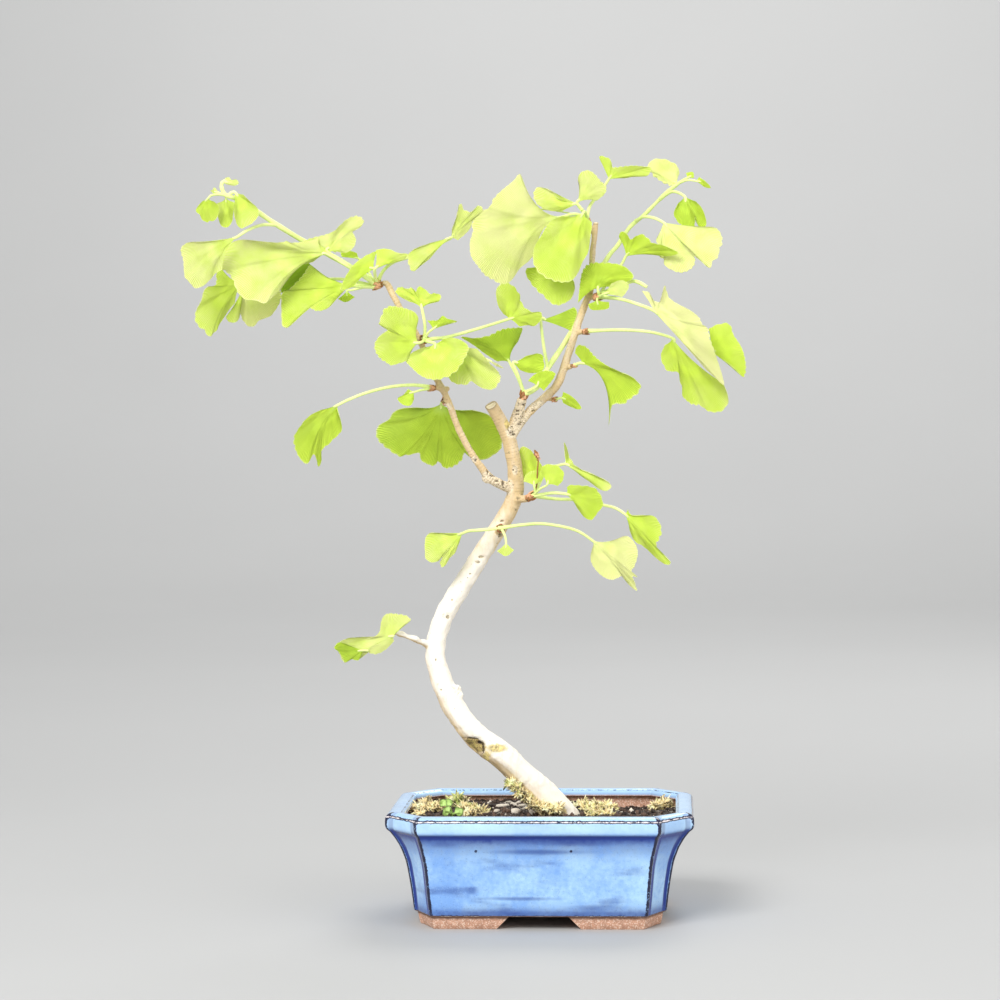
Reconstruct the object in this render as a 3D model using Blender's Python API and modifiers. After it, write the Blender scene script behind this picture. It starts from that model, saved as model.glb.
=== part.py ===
"""Ginkgo bonsai in a rectangular glazed pot, at real size.

The pot's long side runs along X, +Z is up and the view that shows the tree best looks along +Y.
Branches, stalks and leaves are set out as a viewer sees them: across and down in thousandths of a
square picture, and how far behind the pot's middle plane in millimetres. place() turns that into
a point in space.
"""
import math
import random

import bmesh
import bpy
from mathutils import Euler, Matrix, Vector

MM = 0.001
GAP = 0.3

# Driving sizes of the pot, in millimetres. An arch between feet has a half length at its foot and
# one at its top, and the hollow under the floor a half length and a half width.
POT_LENGTH = 150.0
POT_WIDTH = 111.2
POT_HEIGHT = 55.0
ARCH_HEIGHT = 6.3
WALL_FLOOR = 12.0
LIP_WIDTH = 9.0
CAVITY_TOP = 51.6
DRAIN_RADIUS = 7.0
DRAIN_SPACING = 30.0
FRONT_ARCH = (21.5, 14.3)
SIDE_ARCH = (17.0, 11.0)
UNDERSIDE = (42.0, 30.0)
SCREEN_SIDE = 22.0
SCREEN_THICKNESS = 1.2
SCREEN_HOLE = 3.2
SCREEN_PITCH = 5.4

# Outside of the pot from the table up: height, half width, half depth, half length of the long
# panel, half length of the short panel, and how far the panels stand out from the corners
POT_LEVELS = (
    (0.0, 58.6, 46.2, 50.6, 31.6, 1.2),
    (ARCH_HEIGHT, 59.8, 47.2, 51.4, 32.2, 1.2),
    (6.6, 61.4, 48.6, 52.2, 32.8, 1.6),
    (20.0, 63.2, 49.8, 53.4, 33.6, 2.2),
    (31.0, 65.2, 51.0, 54.4, 34.2, 2.4),
    (38.0, 68.0, 52.4, 55.8, 34.8, 2.6),
    (43.0, 71.4, 53.8, 57.2, 35.4, 2.8),
    (46.2, 73.8, 54.6, 58.0, 35.8, 2.8),
    (46.6, 74.8, 55.4, 58.6, 36.2, 3.2),
    (53.0, POT_LENGTH / 2, POT_WIDTH / 2, 58.8, 36.4, 3.4),
    (54.4, 74.5, 55.1, 58.5, 36.2, 3.3),
    (POT_HEIGHT, 73.4, 54.0, 57.9, 35.8, 3.1),
)

# The cavity from its floor up: height, half width, half depth, corner cut
CAVITY_LEVELS = (
    (WALL_FLOOR, 56.5, 43.2, 9.0),
    (31.0, 60.0, 45.6, 10.0),
    (43.0, 65.8, 48.6, 12.0),
    (CAVITY_TOP, 68.2, 49.8, 13.0),
)
MOUTH = (POT_LENGTH / 2 - LIP_WIDTH, POT_WIDTH / 2 - LIP_WIDTH, 12.5)

SOIL_TOP = 49.3
SOIL_MOUND = 2.4
MOUND_SPREAD = 20.0
SOIL_COLUMNS = 20
SOIL_ROWS = 13

# The eye that sees the picture: place and turn of the view, and picture units per unit of slope
EYE = Vector((65.7, -1350.4, 246.4))
EYE_DOWN = 1.739
EYE_LEFT = 3.624
EYE_ROLL = -0.495
SLOPE_UNITS = 2730.0
PICTURE_MIDDLE = 500.0

# The wood: across, down, behind, diameter in millimetres
TRUNK = (
    (568, 852, 4, 9.0), (567, 838, 3, 13.0), (562, 815, 0, 15.6), (542, 793, -3, 14.6),
    (523, 775, -6, 13.6), (504, 757, -8, 14.0), (481, 740, -9, 13.4), (464, 721, -9, 12.2),
    (449, 696, -8, 11.6), (438, 667, -6, 10.6), (436, 645, -4, 10.0), (444, 616, -1, 10.0),
    (461, 587, 2, 9.8), (479, 558, 4, 9.4), (497, 530, 5, 9.0), (511, 506, 5, 8.6),
    (516, 488, 4, 8.2), (514, 462, 2, 7.6), (508, 437, 0, 7.2), (500, 420, -2, 6.8),
    (491, 406, -4, 6.0),
)
LEFT_BRANCH = (
    (512, 494, 4, 4.2), (500, 483, 0, 3.8), (487, 476, -3, 3.6), (469, 449, -8, 3.5),
    (459, 430, -10, 3.4), (447, 398, -13, 3.4), (438, 381, -14, 3.4), (419, 339, -14, 3.2),
    (400, 308, -12, 3.1), (389, 287, -10, 3.4), (385, 283, -10, 3.0), (381, 284, -10.5, 2.6),
)
LEADER = (
    (509, 440, 1, 5.0), (527, 414, 6, 4.6), (554, 389, 10, 4.4), (562, 373, 12, 4.4),
    (571, 346, 14, 4.0), (579, 321, 15, 3.9), (586, 302, 16, 3.8), (590, 290, 16, 3.6),
    (592, 261, 16, 3.2), (594, 240, 15, 3.0), (596, 222, 14, 2.8),
)
SIDE_WOOD = {
    "low_twig": ((432, 647, -4, 3.6), (416, 640, -12, 2.4), (401, 634, -16, 2.0), (394, 632, -17, 2.2)),
    "centre_spur": ((512, 434, 2, 4.4), (519, 413, 3, 4.6), (523, 399, 2, 4.0)),
    "right_spur": ((513, 499, 4, 4.0), (522, 499, 0, 3.8), (528, 498, -2, 3.6)),
    "front_spur": ((498, 531, 5, 4.0), (499, 530, 0, 3.6), (500, 529, -2, 3.2)),
    "middle_spur": ((419, 340, -14, 3.2), (421, 341, -17, 3.0), (423, 341, -19, 2.8)),
    "low_left_spur": ((444, 390, -13.5, 3.0), (437, 388, -14.5, 2.8), (434, 388, -15, 2.6)),
    "low_nub": ((440, 388, -14, 2.8), (446, 389, -13.5, 2.6), (449.5, 388, -13, 1.8)),
    "back_spur": ((447, 399, -13, 3.0), (446, 400, -9.5, 2.8), (446, 400, -8, 2.6)),
    "bud_spur": ((588, 297, 16, 3.2), (592, 297, 14, 3.0), (595, 297, 12.5, 2.8)),
    "low_leader_spur": ((575, 332, 14.6, 3.0), (580, 332, 13.5, 2.8), (583, 332, 13, 2.6)),
    "leaf_spur": ((564, 367, 12.6, 3.2), (569, 367, 11, 2.8), (572, 366, 10, 2.4)),
    "small_spur": ((547, 396, 9, 3.0), (550, 399, 8, 2.4), (552, 400, 7.5, 2.0)),
    "top_spur": ((594, 234, 14.6, 2.6), (591, 228, 13, 2.4), (589, 224, 12, 2.2)),
}
KNOTS = ((512, 754, -8, 4.9), (455, 690, -8, 4.4), (556, 806, -4, 7.4), (573, 814, 3, 6.4))

BLADE_THICKNESS = 0.7
STALK_RADIUS = 0.85
STALK_SINK = 6.0
SMALL_LEAF = 30.0
SMALL_STALK = 0.75
SHOOT_RADIUS = 1.5
SHOOT_END_RADIUS = 0.8
RIB_ROWS = (0.45, 1.0)
MARGIN_STEP = 20.0
MARGIN_TURN = 0.03
RIPPLE = 0.8
RIPPLE_WAVES = 2.6


class Leaf:
    """One fan-shaped leaf: its stalk ends at the fan's point, and margin runs round its outer edge."""

    def __init__(self, stalk, margin, lean=(0.0, 0.0), axis=None, pinch=0.3, curl=0.0):
        self.stalk = stalk
        self.margin = margin
        self.lean = lean
        self.axis = axis
        self.pinch = pinch
        self.curl = curl


class Spray:
    """All that grows from one bud: a scaly knob from bud to tip, green shoots and leaves."""

    def __init__(self, bud, tip, leaves, shoots=(), knob=1.6):
        self.bud = bud
        self.tip = tip
        self.leaves = leaves
        self.shoots = shoots
        self.knob = knob


SPRAYS = {
    "spray_left_tip": Spray(
        bud=(381, 284, -10.5), tip=(373, 286, -11.5),
        shoots=(
            ((376, 283, -11), (346, 264, -12), (322, 251, -12), (300, 239, -14), (274, 223, -21),
             (258, 212, -27), (245, 201, -32), (235, 194, -36), (226, 193, -39), (221, 188, -40),
             (223, 182, -40), (229, 178, -39), (237, 181, -38)),
        ),
        leaves={
            "shoot_end": Leaf([(228, 194, -39), (218, 195, -43), (210, 197, -45)],
                              [(217, 204), (219, 211), (211, 222), (203, 218), (196, 209), (201, 201)],
                              lean=(0.1, 0.1)),
            "shoot_second": Leaf([(236, 194, -36), (229, 196, -37), (226, 199, -38)],
                                 [(234, 204), (233, 221), (228, 227), (221, 226), (217, 218), (218, 205)],
                                 lean=(0.1, 0.3), axis=(0, 1)),
            "shoot_third": Leaf([(246, 202, -32), (240, 203, -32), (236, 205, -32)],
                                [(250, 206), (258, 214), (252, 223), (243, 229), (238, 225), (234, 214)],
                                lean=(0.1, 0.6), axis=(0.5, 0.8)),
            "shoot_fourth": Leaf([(277, 225, -20), (262, 225, -28), (248, 230, -35), (237, 237, -39)],
                                 [(216, 273), (206, 284), (198, 287), (185, 278), (182, 266),
                                  (181, 250), (190, 242), (207, 242)],
                                 lean=(0.25, 0.0), axis=(-0.9, 0.3)),
            "broad_left": Leaf([(373, 283, -13), (353, 267, -19), (333, 250, -24)],
                               [(324, 237), (305, 241), (280, 240), (255, 239), (232, 240), (222, 252),
                                (228, 268), (236, 288), (247, 300), (263, 301)],
                               lean=(0.1, -0.1), axis=(-1, 0.05), pinch=0.4),
            "broad_right": Leaf([(373, 283, -13), (355, 266, -18), (335, 249, -23)],
                                [(345, 253), (352, 248), (355, 241), (353, 231), (362, 222), (357, 216),
                                 (347, 219), (338, 226), (328, 233)],
                                lean=(-0.3, 0.3), axis=(0.5, -0.8), pinch=0.2),
            "hanging_left": Leaf([(376, 285, -10.8), (367, 284, -8.5), (340, 279, -5), (300, 281, -5),
                                  (262, 283, -7), (243, 283, -9)],
                                 [(229, 309), (221, 320), (210, 337), (199, 325), (195, 312), (204, 290),
                                  (216, 285), (217, 268)],
                                 lean=(0.25, 0.0), axis=(-0.9, 0.4)),
            "hanging_middle": Leaf([(262, 283, -7), (244, 284, -9)],
                                   [(237, 304), (239, 317), (233, 323), (226, 317)],
                                   lean=(0.1, 0.1), axis=(-0.2, 1), curl=-3),
            "hanging_right": Leaf([(262, 283, -7), (245, 284, -9)],
                                  [(281, 296), (270, 317), (252, 327), (245, 324), (240, 308)],
                                  lean=(0.1, 0.25), axis=(0.3, 1)),
            "under_broad": Leaf([(374, 287, -12), (362, 287, -15), (352, 286, -18)],
                                [(304, 262), (283, 290), (282, 310), (285, 327), (292, 325), (307, 309),
                                 (320, 311), (330, 308), (340, 299)],
                                lean=(0.05, -0.15), axis=(-1, 0.1)),
            "sliver": Leaf([(376, 285, -11), (366, 285, -11), (344, 284, -10)],
                           [(317, 272), (321, 280), (333, 287)], axis=(-1, 0), pinch=0.1),
            "strap_left": Leaf([(376, 281, -12), (375, 275, -16), (374, 269, -20)],
                               [(377, 251), (366, 255), (357, 261), (350, 270), (340, 290), (353, 287)],
                               lean=(0.25, -0.1), axis=(-0.7, -0.2), pinch=0.15),
            "strap_right": Leaf([(376, 281, -12), (375, 275, -17), (375, 269, -21)],
                                [(376, 250), (384, 249), (391, 250), (399, 253), (409, 254), (403, 260)],
                                lean=(-0.1, -0.1), axis=(0.6, -0.6), pinch=0.15),
            "serrated": Leaf([(376, 286, -11.2), (366, 287, -11.5), (352, 290, -11), (347, 291, -11)],
                             [(338, 299), (346, 302), (355, 297)], axis=(0, 1), pinch=0.1),
            "behind_strap": Leaf([(374, 281, -10), (366, 268, -7), (359, 259, -5)],
                                 [(342, 257), (341, 252), (350, 251), (357, 253)],
                                 axis=(-1, -0.3), pinch=0.1),
            "far_left_half": Leaf([(378, 281, -10), (384, 270, -13), (394, 262, -15), (410, 257, -17),
                                   (431, 248, -18), (450, 238, -20)],
                                  [(416, 244), (410, 255), (409, 264), (414, 272)],
                                  lean=(0.3, 0.1), axis=(-1, 0.3), pinch=0.15),
            "far_right_half": Leaf([(431, 248, -18), (451, 238, -20)],
                                   [(460, 202), (467, 209), (473, 212), (476, 206), (483, 210), (469, 231)],
                                   lean=(-0.3, 0.2), axis=(0.5, -0.85), pinch=0.2),
        },
    ),
    "spray_left_middle": Spray(
        bud=(423, 341, -19), tip=(425, 338, -23),
        leaves={
            "upright": Leaf([(424, 339, -21), (425, 326, -24), (422, 309, -26)],
                            [(397, 298), (395, 291), (401, 286), (408, 287), (415, 294), (420, 287),
                             (430, 292), (441, 296), (440, 301)],
                            lean=(0, -0.25)),
            "twin_lobed": Leaf([(424, 340, -21), (419, 338, -25), (415, 333, -28)],
                               [(417, 322), (412, 311), (402, 308), (391, 307), (382, 312), (378, 321),
                                (390, 327), (376, 340), (373, 346), (378, 355), (392, 365), (400, 364),
                                (406, 359)],
                               lean=(0.2, 0), axis=(-1, 0.1), pinch=0.2),
            "lower_front": Leaf([(424, 341, -21), (433, 343, -25), (440, 345, -28)],
                                [(470, 349), (462, 363), (447, 377), (437, 380), (423, 378), (409, 363)],
                                lean=(0, -0.15), axis=(-0.3, 1), pinch=0.2),
            "lower_right": Leaf([(424, 340, -21), (440, 338, -22), (453, 341, -23)],
                                [(449, 377), (459, 385), (468, 385), (471, 380), (480, 387), (493, 388),
                                 (501, 381), (499, 372), (478, 351)],
                                lean=(0, 0.12), axis=(0.5, 0.85), pinch=0.2),
            "edge_on": Leaf([(425, 339, -22), (428, 333, -26), (433, 329, -29)],
                            [(427, 320), (438, 320), (443, 315), (457, 322)], pinch=0.1),
            "long_stalked": Leaf([(425, 340, -22), (447, 337, -22), (470, 331, -20), (490, 325, -17),
                                  (509, 319, -14)],
                                 [(500, 312), (499, 303), (497, 291), (504, 285), (511, 288), (518, 299),
                                  (530, 313), (540, 315), (538, 322), (529, 327), (516, 327)],
                                 lean=(0.1, 0.1), pinch=0.2),
        },
    ),
    "spray_left_low": Spray(
        bud=(434, 388, -15), tip=(428, 388, -17),
        leaves={
            "long_stalked": Leaf([(430, 387, -16), (413, 385, -19), (390, 387, -23), (366, 393, -28),
                                  (348, 400, -32), (338, 405, -34)],
                                 [(336, 419), (342, 431), (331, 443), (322, 451), (321, 464), (317, 467),
                                  (308, 462), (300, 457), (294, 440), (297, 430), (311, 413)],
                                 lean=(0.2, 0.1), curl=3),
            "curled": Leaf([(430, 389, -16), (422, 390, -18), (414, 392, -20)],
                           [(414, 399), (411, 405), (404, 405), (397, 399), (403, 395), (408, 389)],
                           pinch=0.1),
        },
    ),
    "spray_left_back": Spray(
        bud=(446, 400, -8), tip=(445, 401, -4),
        leaves={
            "broad": Leaf([(445, 401, -5), (443, 402, -1), (441, 404, 3)],
                          [(413, 408), (396, 411), (385, 418), (376, 432), (396, 456), (410, 456),
                           (418, 452), (425, 464), (436, 464), (449, 466), (458, 462), (463, 452),
                           (472, 460), (486, 458), (500, 448), (500, 436), (498, 424), (484, 414),
                           (462, 408)],
                          lean=(0, 0.2), axis=(0, 1), pinch=0.2),
        },
    ),
    "spray_centre": Spray(
        bud=(523, 399, 2), tip=(525, 391, 1),
        shoots=(
            ((524, 394, 1), (537, 387, 0), (548, 368, 2), (560, 350, 12), (570, 334, 21), (581, 312, 27),
             (605, 262, 32), (618, 245, 35), (630, 227, 37), (643, 216, 38), (655, 204, 39),
             (668, 191, 40), (679, 183, 41), (686, 179, 42)),
        ),
        leaves={
            "folded": Leaf([(524, 394, 1), (518, 378, 2), (510, 363, 3)],
                           [(523, 328), (505, 330), (490, 332), (475, 338), (464, 338), (478, 352),
                            (489, 360)],
                           lean=(0.1, 0.1), axis=(-0.5, -0.85)),
            "small_right": Leaf([(524, 394, 1), (519, 378, -1), (513, 363, -3)],
                                [(526, 356), (542, 354), (543, 370), (530, 373), (520, 370)],
                                lean=(0.1, 0), axis=(1, 0), pinch=0.15),
            "low_cup": Leaf([(525, 393, 1), (531, 390, -3), (537, 386, -6)],
                            [(528, 381), (533, 375), (541, 371), (549, 371), (555, 375), (544, 391)],
                            axis=(0.3, -1), pinch=0.15),
            "crossing": Leaf([(548, 368, 2), (544, 348, -3), (541, 320, -7)],
                             [(574, 307), (577, 313), (571, 331)], axis=(1, 0), pinch=0.15),
            "hood": Leaf([(668, 191, 40), (677, 185, 41)],
                         [(680, 177), (679, 170), (672, 163), (664, 161), (653, 160), (646, 167),
                          (649, 176), (657, 181), (668, 185)],
                         lean=(0.2, 0.3), axis=(-0.7, -0.7), pinch=0.15),
            "drooping": Leaf([(660, 199, 39), (671, 192, 36), (679, 193, 33), (685, 197, 31)],
                             [(674, 209), (673, 216), (684, 228), (691, 229), (696, 216), (700, 230),
                              (706, 224), (700, 204)],
                             lean=(0, -0.1), axis=(0.1, 1), pinch=0.05),
            "split": Leaf([(636, 221, 37), (643, 217, 33), (654, 218, 28), (664, 223, 25)],
                          [(660, 232), (657, 242), (659, 255), (666, 270), (680, 273), (691, 267),
                           (694, 258), (683, 245), (708, 268), (718, 256), (722, 242), (714, 228)],
                          lean=(-0.1, -0.15), axis=(0.6, 0.8), pinch=0.05),
            "tip_bud": Leaf([(684, 180, 42), (687, 178, 42)],
                            [(686, 173), (693, 172), (694, 178)], axis=(1, -0.5), pinch=0.1),
            "tip_small": Leaf([(679, 183, 41), (688, 180, 39), (696, 181, 38)],
                              [(699, 177), (706, 182), (711, 188), (704, 187)], pinch=0.1),
        },
    ),
    "spray_leader_bud": Spray(
        bud=(595, 297, 12.5), tip=(600, 297, 10.5),
        shoots=(((598, 296, 11), (616, 288, 14), (633, 281, 12), (647, 287, 10)),),
        leaves={
            "hood": Leaf([(598, 297, 11), (599, 294, 9), (598, 291, 8)],
                         [(578, 303), (579, 287), (583, 272), (590, 264), (604, 262), (616, 264),
                          (628, 270), (633, 279), (611, 287)],
                         lean=(0, -0.08), axis=(0, -1), pinch=0.4),
            "pale_inner": Leaf([(599, 297, 10), (604, 294, 4)],
                               [(611, 284), (621, 280), (629, 284), (627, 291), (622, 297)],
                               axis=(1, -0.3), pinch=0.1),
            "low_inner": Leaf([(598, 298, 10), (597, 300, 8)],
                              [(588, 304), (592, 310), (608, 309), (609, 302)], axis=(0.2, 1), pinch=0.1),
            "ragged": Leaf([(599, 296, 10), (620, 299, 5), (640, 305, 0), (654, 311, -5)],
                           [(642, 291), (648, 292), (656, 303), (665, 286), (670, 297), (685, 307),
                            (700, 317), (709, 330), (713, 348), (718, 362), (724, 386), (716, 381)],
                           lean=(-0.08, 0), axis=(0.6, 0.6), pinch=0.2),
            "behind_ragged": Leaf([(599, 297, 11), (620, 299, 10), (640, 305, 8), (655, 311, 6),
                                   (675, 323, 4), (695, 338, 4), (711, 351, 4)],
                                  [(708, 329), (726, 323), (732, 326), (736, 340), (744, 353), (747, 367),
                                   (744, 377), (725, 360)],
                                  lean=(-0.1, 0), axis=(0.8, -0.1), pinch=0.05, curl=-3),
            "tongue": Leaf([(599, 296, 11), (610, 278, 22), (621, 265, 26), (626, 256, 27)],
                           [(619, 236), (621, 231), (625, 232), (632, 242), (637, 235), (643, 235),
                            (650, 242), (662, 245), (678, 255), (660, 257)],
                           lean=(-0.3, 0.1), axis=(0.6, -0.6), pinch=0.15),
        },
    ),
    "spray_leader_low": Spray(
        bud=(583, 332, 13), tip=(590, 331, 12),
        leaves={
            "long_stalked": Leaf([(588, 331, 12), (621, 330, 10), (650, 332, 8), (672, 338, 7)],
                                 [(662, 350), (661, 361), (666, 371), (677, 374), (681, 385), (682, 398),
                                  (695, 406), (708, 411), (722, 411), (729, 404), (728, 396), (706, 369)],
                                 lean=(-0.08, 0.1), axis=(0.5, 0.85)),
        },
    ),
    "leaf_leader": Spray(
        bud=(572, 366, 10), tip=(577, 365, 8.5), knob=1.2,
        leaves={
            "twisted": Leaf([(575, 365, 9), (580, 363, 7)],
                            [(577, 350), (580, 346), (592, 351), (600, 360), (620, 371), (637, 383),
                             (638, 390), (625, 403), (612, 405), (607, 425)],
                            lean=(-0.15, 0.05), axis=(0.95, 0.15)),
        },
    ),
    "leaf_leader_small": Spray(
        bud=(552, 400, 7.5), tip=(557, 399, 7), knob=1.0,
        leaves={
            "small": Leaf([(555, 400, 7), (561, 398, 6)],
                          [(563, 392), (571, 396), (578, 402), (582, 409), (576, 409), (563, 403)],
                          axis=(1, 0.3), pinch=0.15),
        },
    ),
    "spray_leader_top": Spray(
        bud=(589, 224, 12), tip=(587, 216, 10.5),
        leaves={
            "broad_left": Leaf([(587, 218, 10), (575, 214, 9), (562, 217, 8)],
                               [(521, 174), (508, 187), (491, 201), (483, 211), (473, 222), (474, 233),
                                (468, 247), (475, 262), (486, 277), (500, 284), (511, 285), (523, 275),
                                (534, 258)],
                               lean=(0.05, 0.1), axis=(-1, 0.1), pinch=0.45),
            "round_front": Leaf([(587, 218, 10), (585, 212, 5), (583, 213, 2)],
                                [(551, 224), (544, 238), (533, 258), (533, 264), (541, 273), (555, 282),
                                 (568, 282), (577, 279), (583, 266), (589, 249), (592, 226)],
                                axis=(-0.4, 0.9), pinch=0.2),
            "behind_round": Leaf([(588, 219, 10), (581, 236, 11), (568, 252, 11)],
                                 [(527, 269), (537, 285), (550, 300), (562, 303), (573, 293), (573, 284)],
                                 lean=(-0.15, 0), axis=(-0.5, 0.85)),
            "small_left": Leaf([(587, 217, 10), (582, 210, 9), (577, 204, 8)],
                               [(551, 190), (543, 187), (536, 190), (534, 197), (537, 206), (562, 212)],
                               lean=(0.1, -0.1), axis=(-1, 0.1), pinch=0.05, curl=3),
            "small_right": Leaf([(582, 210, 9), (577, 203, 9)],
                                [(578, 175), (580, 170), (586, 169), (597, 176), (607, 182), (608, 190),
                                 (592, 203)],
                                lean=(-0.1, 0.1), axis=(0.6, -0.8)),
            "pointing_right": Leaf([(587, 217, 10), (590, 206, 13), (598, 195, 15), (609, 179, 15)],
                                   [(600, 157), (607, 158), (613, 164), (617, 168), (630, 167), (646, 168),
                                    (651, 176), (640, 177)],
                                   lean=(-0.1, 0.1), axis=(0.5, -0.8), pinch=0.05),
        },
    ),
    "spray_trunk_right": Spray(
        bud=(528, 498, -2), tip=(535, 495, -4),
        leaves={
            "behind": Leaf([(533, 495, -3), (536, 487, 3), (535, 479, 6)],
                           [(518, 470), (518, 455), (521, 447), (528, 449), (538, 458), (538, 467)],
                           lean=(-0.3, 0), axis=(-0.3, -1), pinch=0.05),
            "tiny": Leaf([(534, 495, -4), (535, 489, -6), (536, 485, -7)],
                         [(525, 478), (529, 474), (537, 473), (543, 476)], axis=(0, -1), pinch=0.15),
            "cup": Leaf([(534, 495, -4), (540, 489, -9), (547, 485, -12)],
                        [(541, 472), (542, 466), (548, 464), (557, 466), (563, 472), (563, 480),
                         (558, 486)],
                        axis=(0.2, -1), pinch=0.2),
            "spiked": Leaf([(534, 495, -3), (542, 478, 2), (546, 467, 2), (556, 466, -2), (565, 464, -5)],
                           [(563, 452), (564, 441), (568, 453), (576, 464), (589, 471), (603, 477),
                            (610, 484), (607, 490), (600, 490), (578, 472)],
                           lean=(-0.1, 0), axis=(0.8, 0.3), pinch=0.2, curl=3),
            "middle": Leaf([(534, 496, -4), (552, 493, -8), (566, 494, -11)],
                           [(569, 485), (577, 484), (588, 486), (597, 490), (603, 501), (600, 514),
                            (592, 520), (578, 508)],
                           lean=(-0.1, 0.1), axis=(0.9, 0.3)),
            "outer": Leaf([(534, 496, -3), (556, 499, 2), (580, 500, 2), (603, 505, -1), (615, 508, -3),
                           (625, 514, -5)],
                          [(651, 514), (659, 524), (661, 538), (659, 549), (669, 562), (664, 565),
                           (652, 553), (634, 541)],
                          lean=(-0.1, 0), axis=(0.6, 0.7), pinch=0.2),
        },
    ),
    "spray_trunk_low": Spray(
        bud=(500, 529, -2), tip=(501, 528, -6),
        leaves={
            "left": Leaf([(500, 528, -5), (482, 530, -8), (469, 531, -10), (459, 536, -11)],
                         [(456, 549), (449, 560), (442, 567), (441, 562), (443, 554), (434, 562), (427, 559),
                          (425, 545), (426, 534)],
                         lean=(0.1, 0), axis=(-0.9, 0.3), pinch=0.05),
            "right": Leaf([(501, 528, -5), (522, 525, -7), (545, 524, -9), (575, 530, -12), (593, 541, -14)],
                          [(627, 535), (635, 545), (637, 562), (633, 570), (637, 577), (636, 591), (624, 578),
                           (610, 580), (599, 573), (591, 563), (590, 552)],
                          lean=(-0.1, 0), axis=(0.6, 0.8), pinch=0.25),
            "tiny": Leaf([(501, 528, -5), (505, 536, -8), (506, 543, -9)],
                         [(497, 551), (506, 556), (514, 550)], axis=(0, 1), pinch=0.1),
        },
    ),
    "spray_twig": Spray(
        bud=(394, 632, -17), tip=(389, 635, -19), knob=1.2,
        leaves={
            "left": Leaf([(391, 634, -18), (392, 639, -21)],
                         [(378, 628), (371, 637), (348, 639), (334, 647), (341, 653), (342, 660),
                          (348, 663), (364, 654), (380, 652)],
                         lean=(0.15, 0), axis=(-1, 0.1), pinch=0.15),
            "upper": Leaf([(391, 634, -18), (391, 636, -22)],
                          [(380, 624), (382, 618), (389, 614), (407, 614), (412, 619), (405, 625)],
                          lean=(0, 0.1), axis=(0.1, -1), pinch=0.1, curl=3),
        },
    ),
}

SEEDLING_STEM = ((453, 832, -24, 1.4), (453, 822, -24, 1.4), (452, 814, -25, 1.3), (450, 808, -26, 1.2))
SEEDLING = {
    "top": Leaf([(451, 810, -25), (449, 806, -26)],
                [(441, 804), (442, 798), (447, 796), (452, 798), (453, 803)], axis=(-0.1, -1), pinch=0.15),
    "left": Leaf([(451, 812, -26), (449, 811, -28)],
                 [(440, 807), (439, 812), (443, 816), (447, 816)], axis=(-1, 0.1), pinch=0.15),
    "right": Leaf([(452, 813, -26), (454, 812, -28)],
                  [(457, 806), (462, 808), (463, 813), (458, 816)], axis=(1, 0), pinch=0.15),
}


def view_axes():
    """Directions of the view: right, up and forward."""
    turn = Euler((math.radians(90 - EYE_DOWN), 0.0, math.radians(EYE_LEFT)), "XYZ").to_matrix()
    right, up, back = turn.col[0].copy(), turn.col[1].copy(), turn.col[2].copy()
    roll = math.radians(EYE_ROLL)
    level_right = right * math.cos(roll) + up * math.sin(roll)
    level_up = up * math.cos(roll) - right * math.sin(roll)
    return level_right, level_up, -back


VIEW_RIGHT, VIEW_UP, VIEW_FORWARD = view_axes()


def place(spot):
    """Point in space, in metres, of a spot given as across, down and millimetres behind."""
    across, down, behind = spot[:3]
    ray = (
        VIEW_FORWARD
        + VIEW_RIGHT * ((across - PICTURE_MIDDLE) / SLOPE_UNITS)
        + VIEW_UP * ((PICTURE_MIDDLE - down) / SLOPE_UNITS)
    )
    return (EYE + ray * ((behind - EYE.y) / ray.y)) * MM


def smooth_path(points, steps):
    """Points on a smooth curve through the given ones, each of any number of values."""
    if steps < 2:
        return [tuple(point) for point in points]
    padded = [points[0], *points, points[-1]]
    path = []
    for first, start, end, last in zip(padded, padded[1:], padded[2:], padded[3:]):
        for step in range(steps):
            t = step / steps
            path.append(tuple(
                0.5 * (2 * b + (c - a) * t + (2 * a - 5 * b + 4 * c - d) * t * t
                       + (3 * b - a - 3 * c + d) * t ** 3)
                for a, b, c, d in zip(first, start, end, last)
            ))
    path.append(tuple(points[-1]))
    return path


def clear_scene():
    """Remove what the file opened with."""
    for thing in list(bpy.data.objects):
        bpy.data.objects.remove(thing, do_unlink=True)


def collection(name):
    """Collection of that name in the scene."""
    made = bpy.data.collections.new(name)
    bpy.context.scene.collection.children.link(made)
    return made


def material(name, colour, roughness, metallic=0.0):
    """Plain Principled material."""
    made = bpy.data.materials.new(name)
    made.use_nodes = True
    shader = made.node_tree.nodes["Principled BSDF"]
    shader.inputs["Base Color"].default_value = (*colour, 1.0)
    shader.inputs["Roughness"].default_value = roughness
    shader.inputs["Metallic"].default_value = metallic
    made.diffuse_color = (*colour, 1.0)
    return made


def mesh_object(name, mesh, group):
    """New object holding the mesh, in the collection."""
    made = bpy.data.objects.new(name, mesh)
    group.objects.link(made)
    return made


def baked(source, name, group):
    """Mesh object that holds the source as evaluated, in place of it."""
    view = bpy.context.evaluated_depsgraph_get()
    mesh = bpy.data.meshes.new_from_object(source.evaluated_get(view))
    mesh.transform(source.matrix_world)
    bpy.data.objects.remove(source, do_unlink=True)
    return mesh_object(name, mesh, group)


def tube(name, points, radii, group, resolution=1):
    """Closed round bar along points in metres, with a radius in millimetres at each."""
    curve = bpy.data.curves.new(name, "CURVE")
    curve.dimensions = "3D"
    curve.bevel_depth = MM
    curve.bevel_resolution = resolution
    curve.use_fill_caps = True
    spline = curve.splines.new("POLY")
    spline.points.add(len(points) - 1)
    for knot, point, radius in zip(spline.points, points, radii):
        knot.co = (*point, 1.0)
        knot.radius = radius
    bar = bpy.data.objects.new(name, curve)
    group.objects.link(bar)
    bpy.context.view_layer.update()
    solid = baked(bar, name, group)
    weld(solid.data)
    return solid


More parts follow.
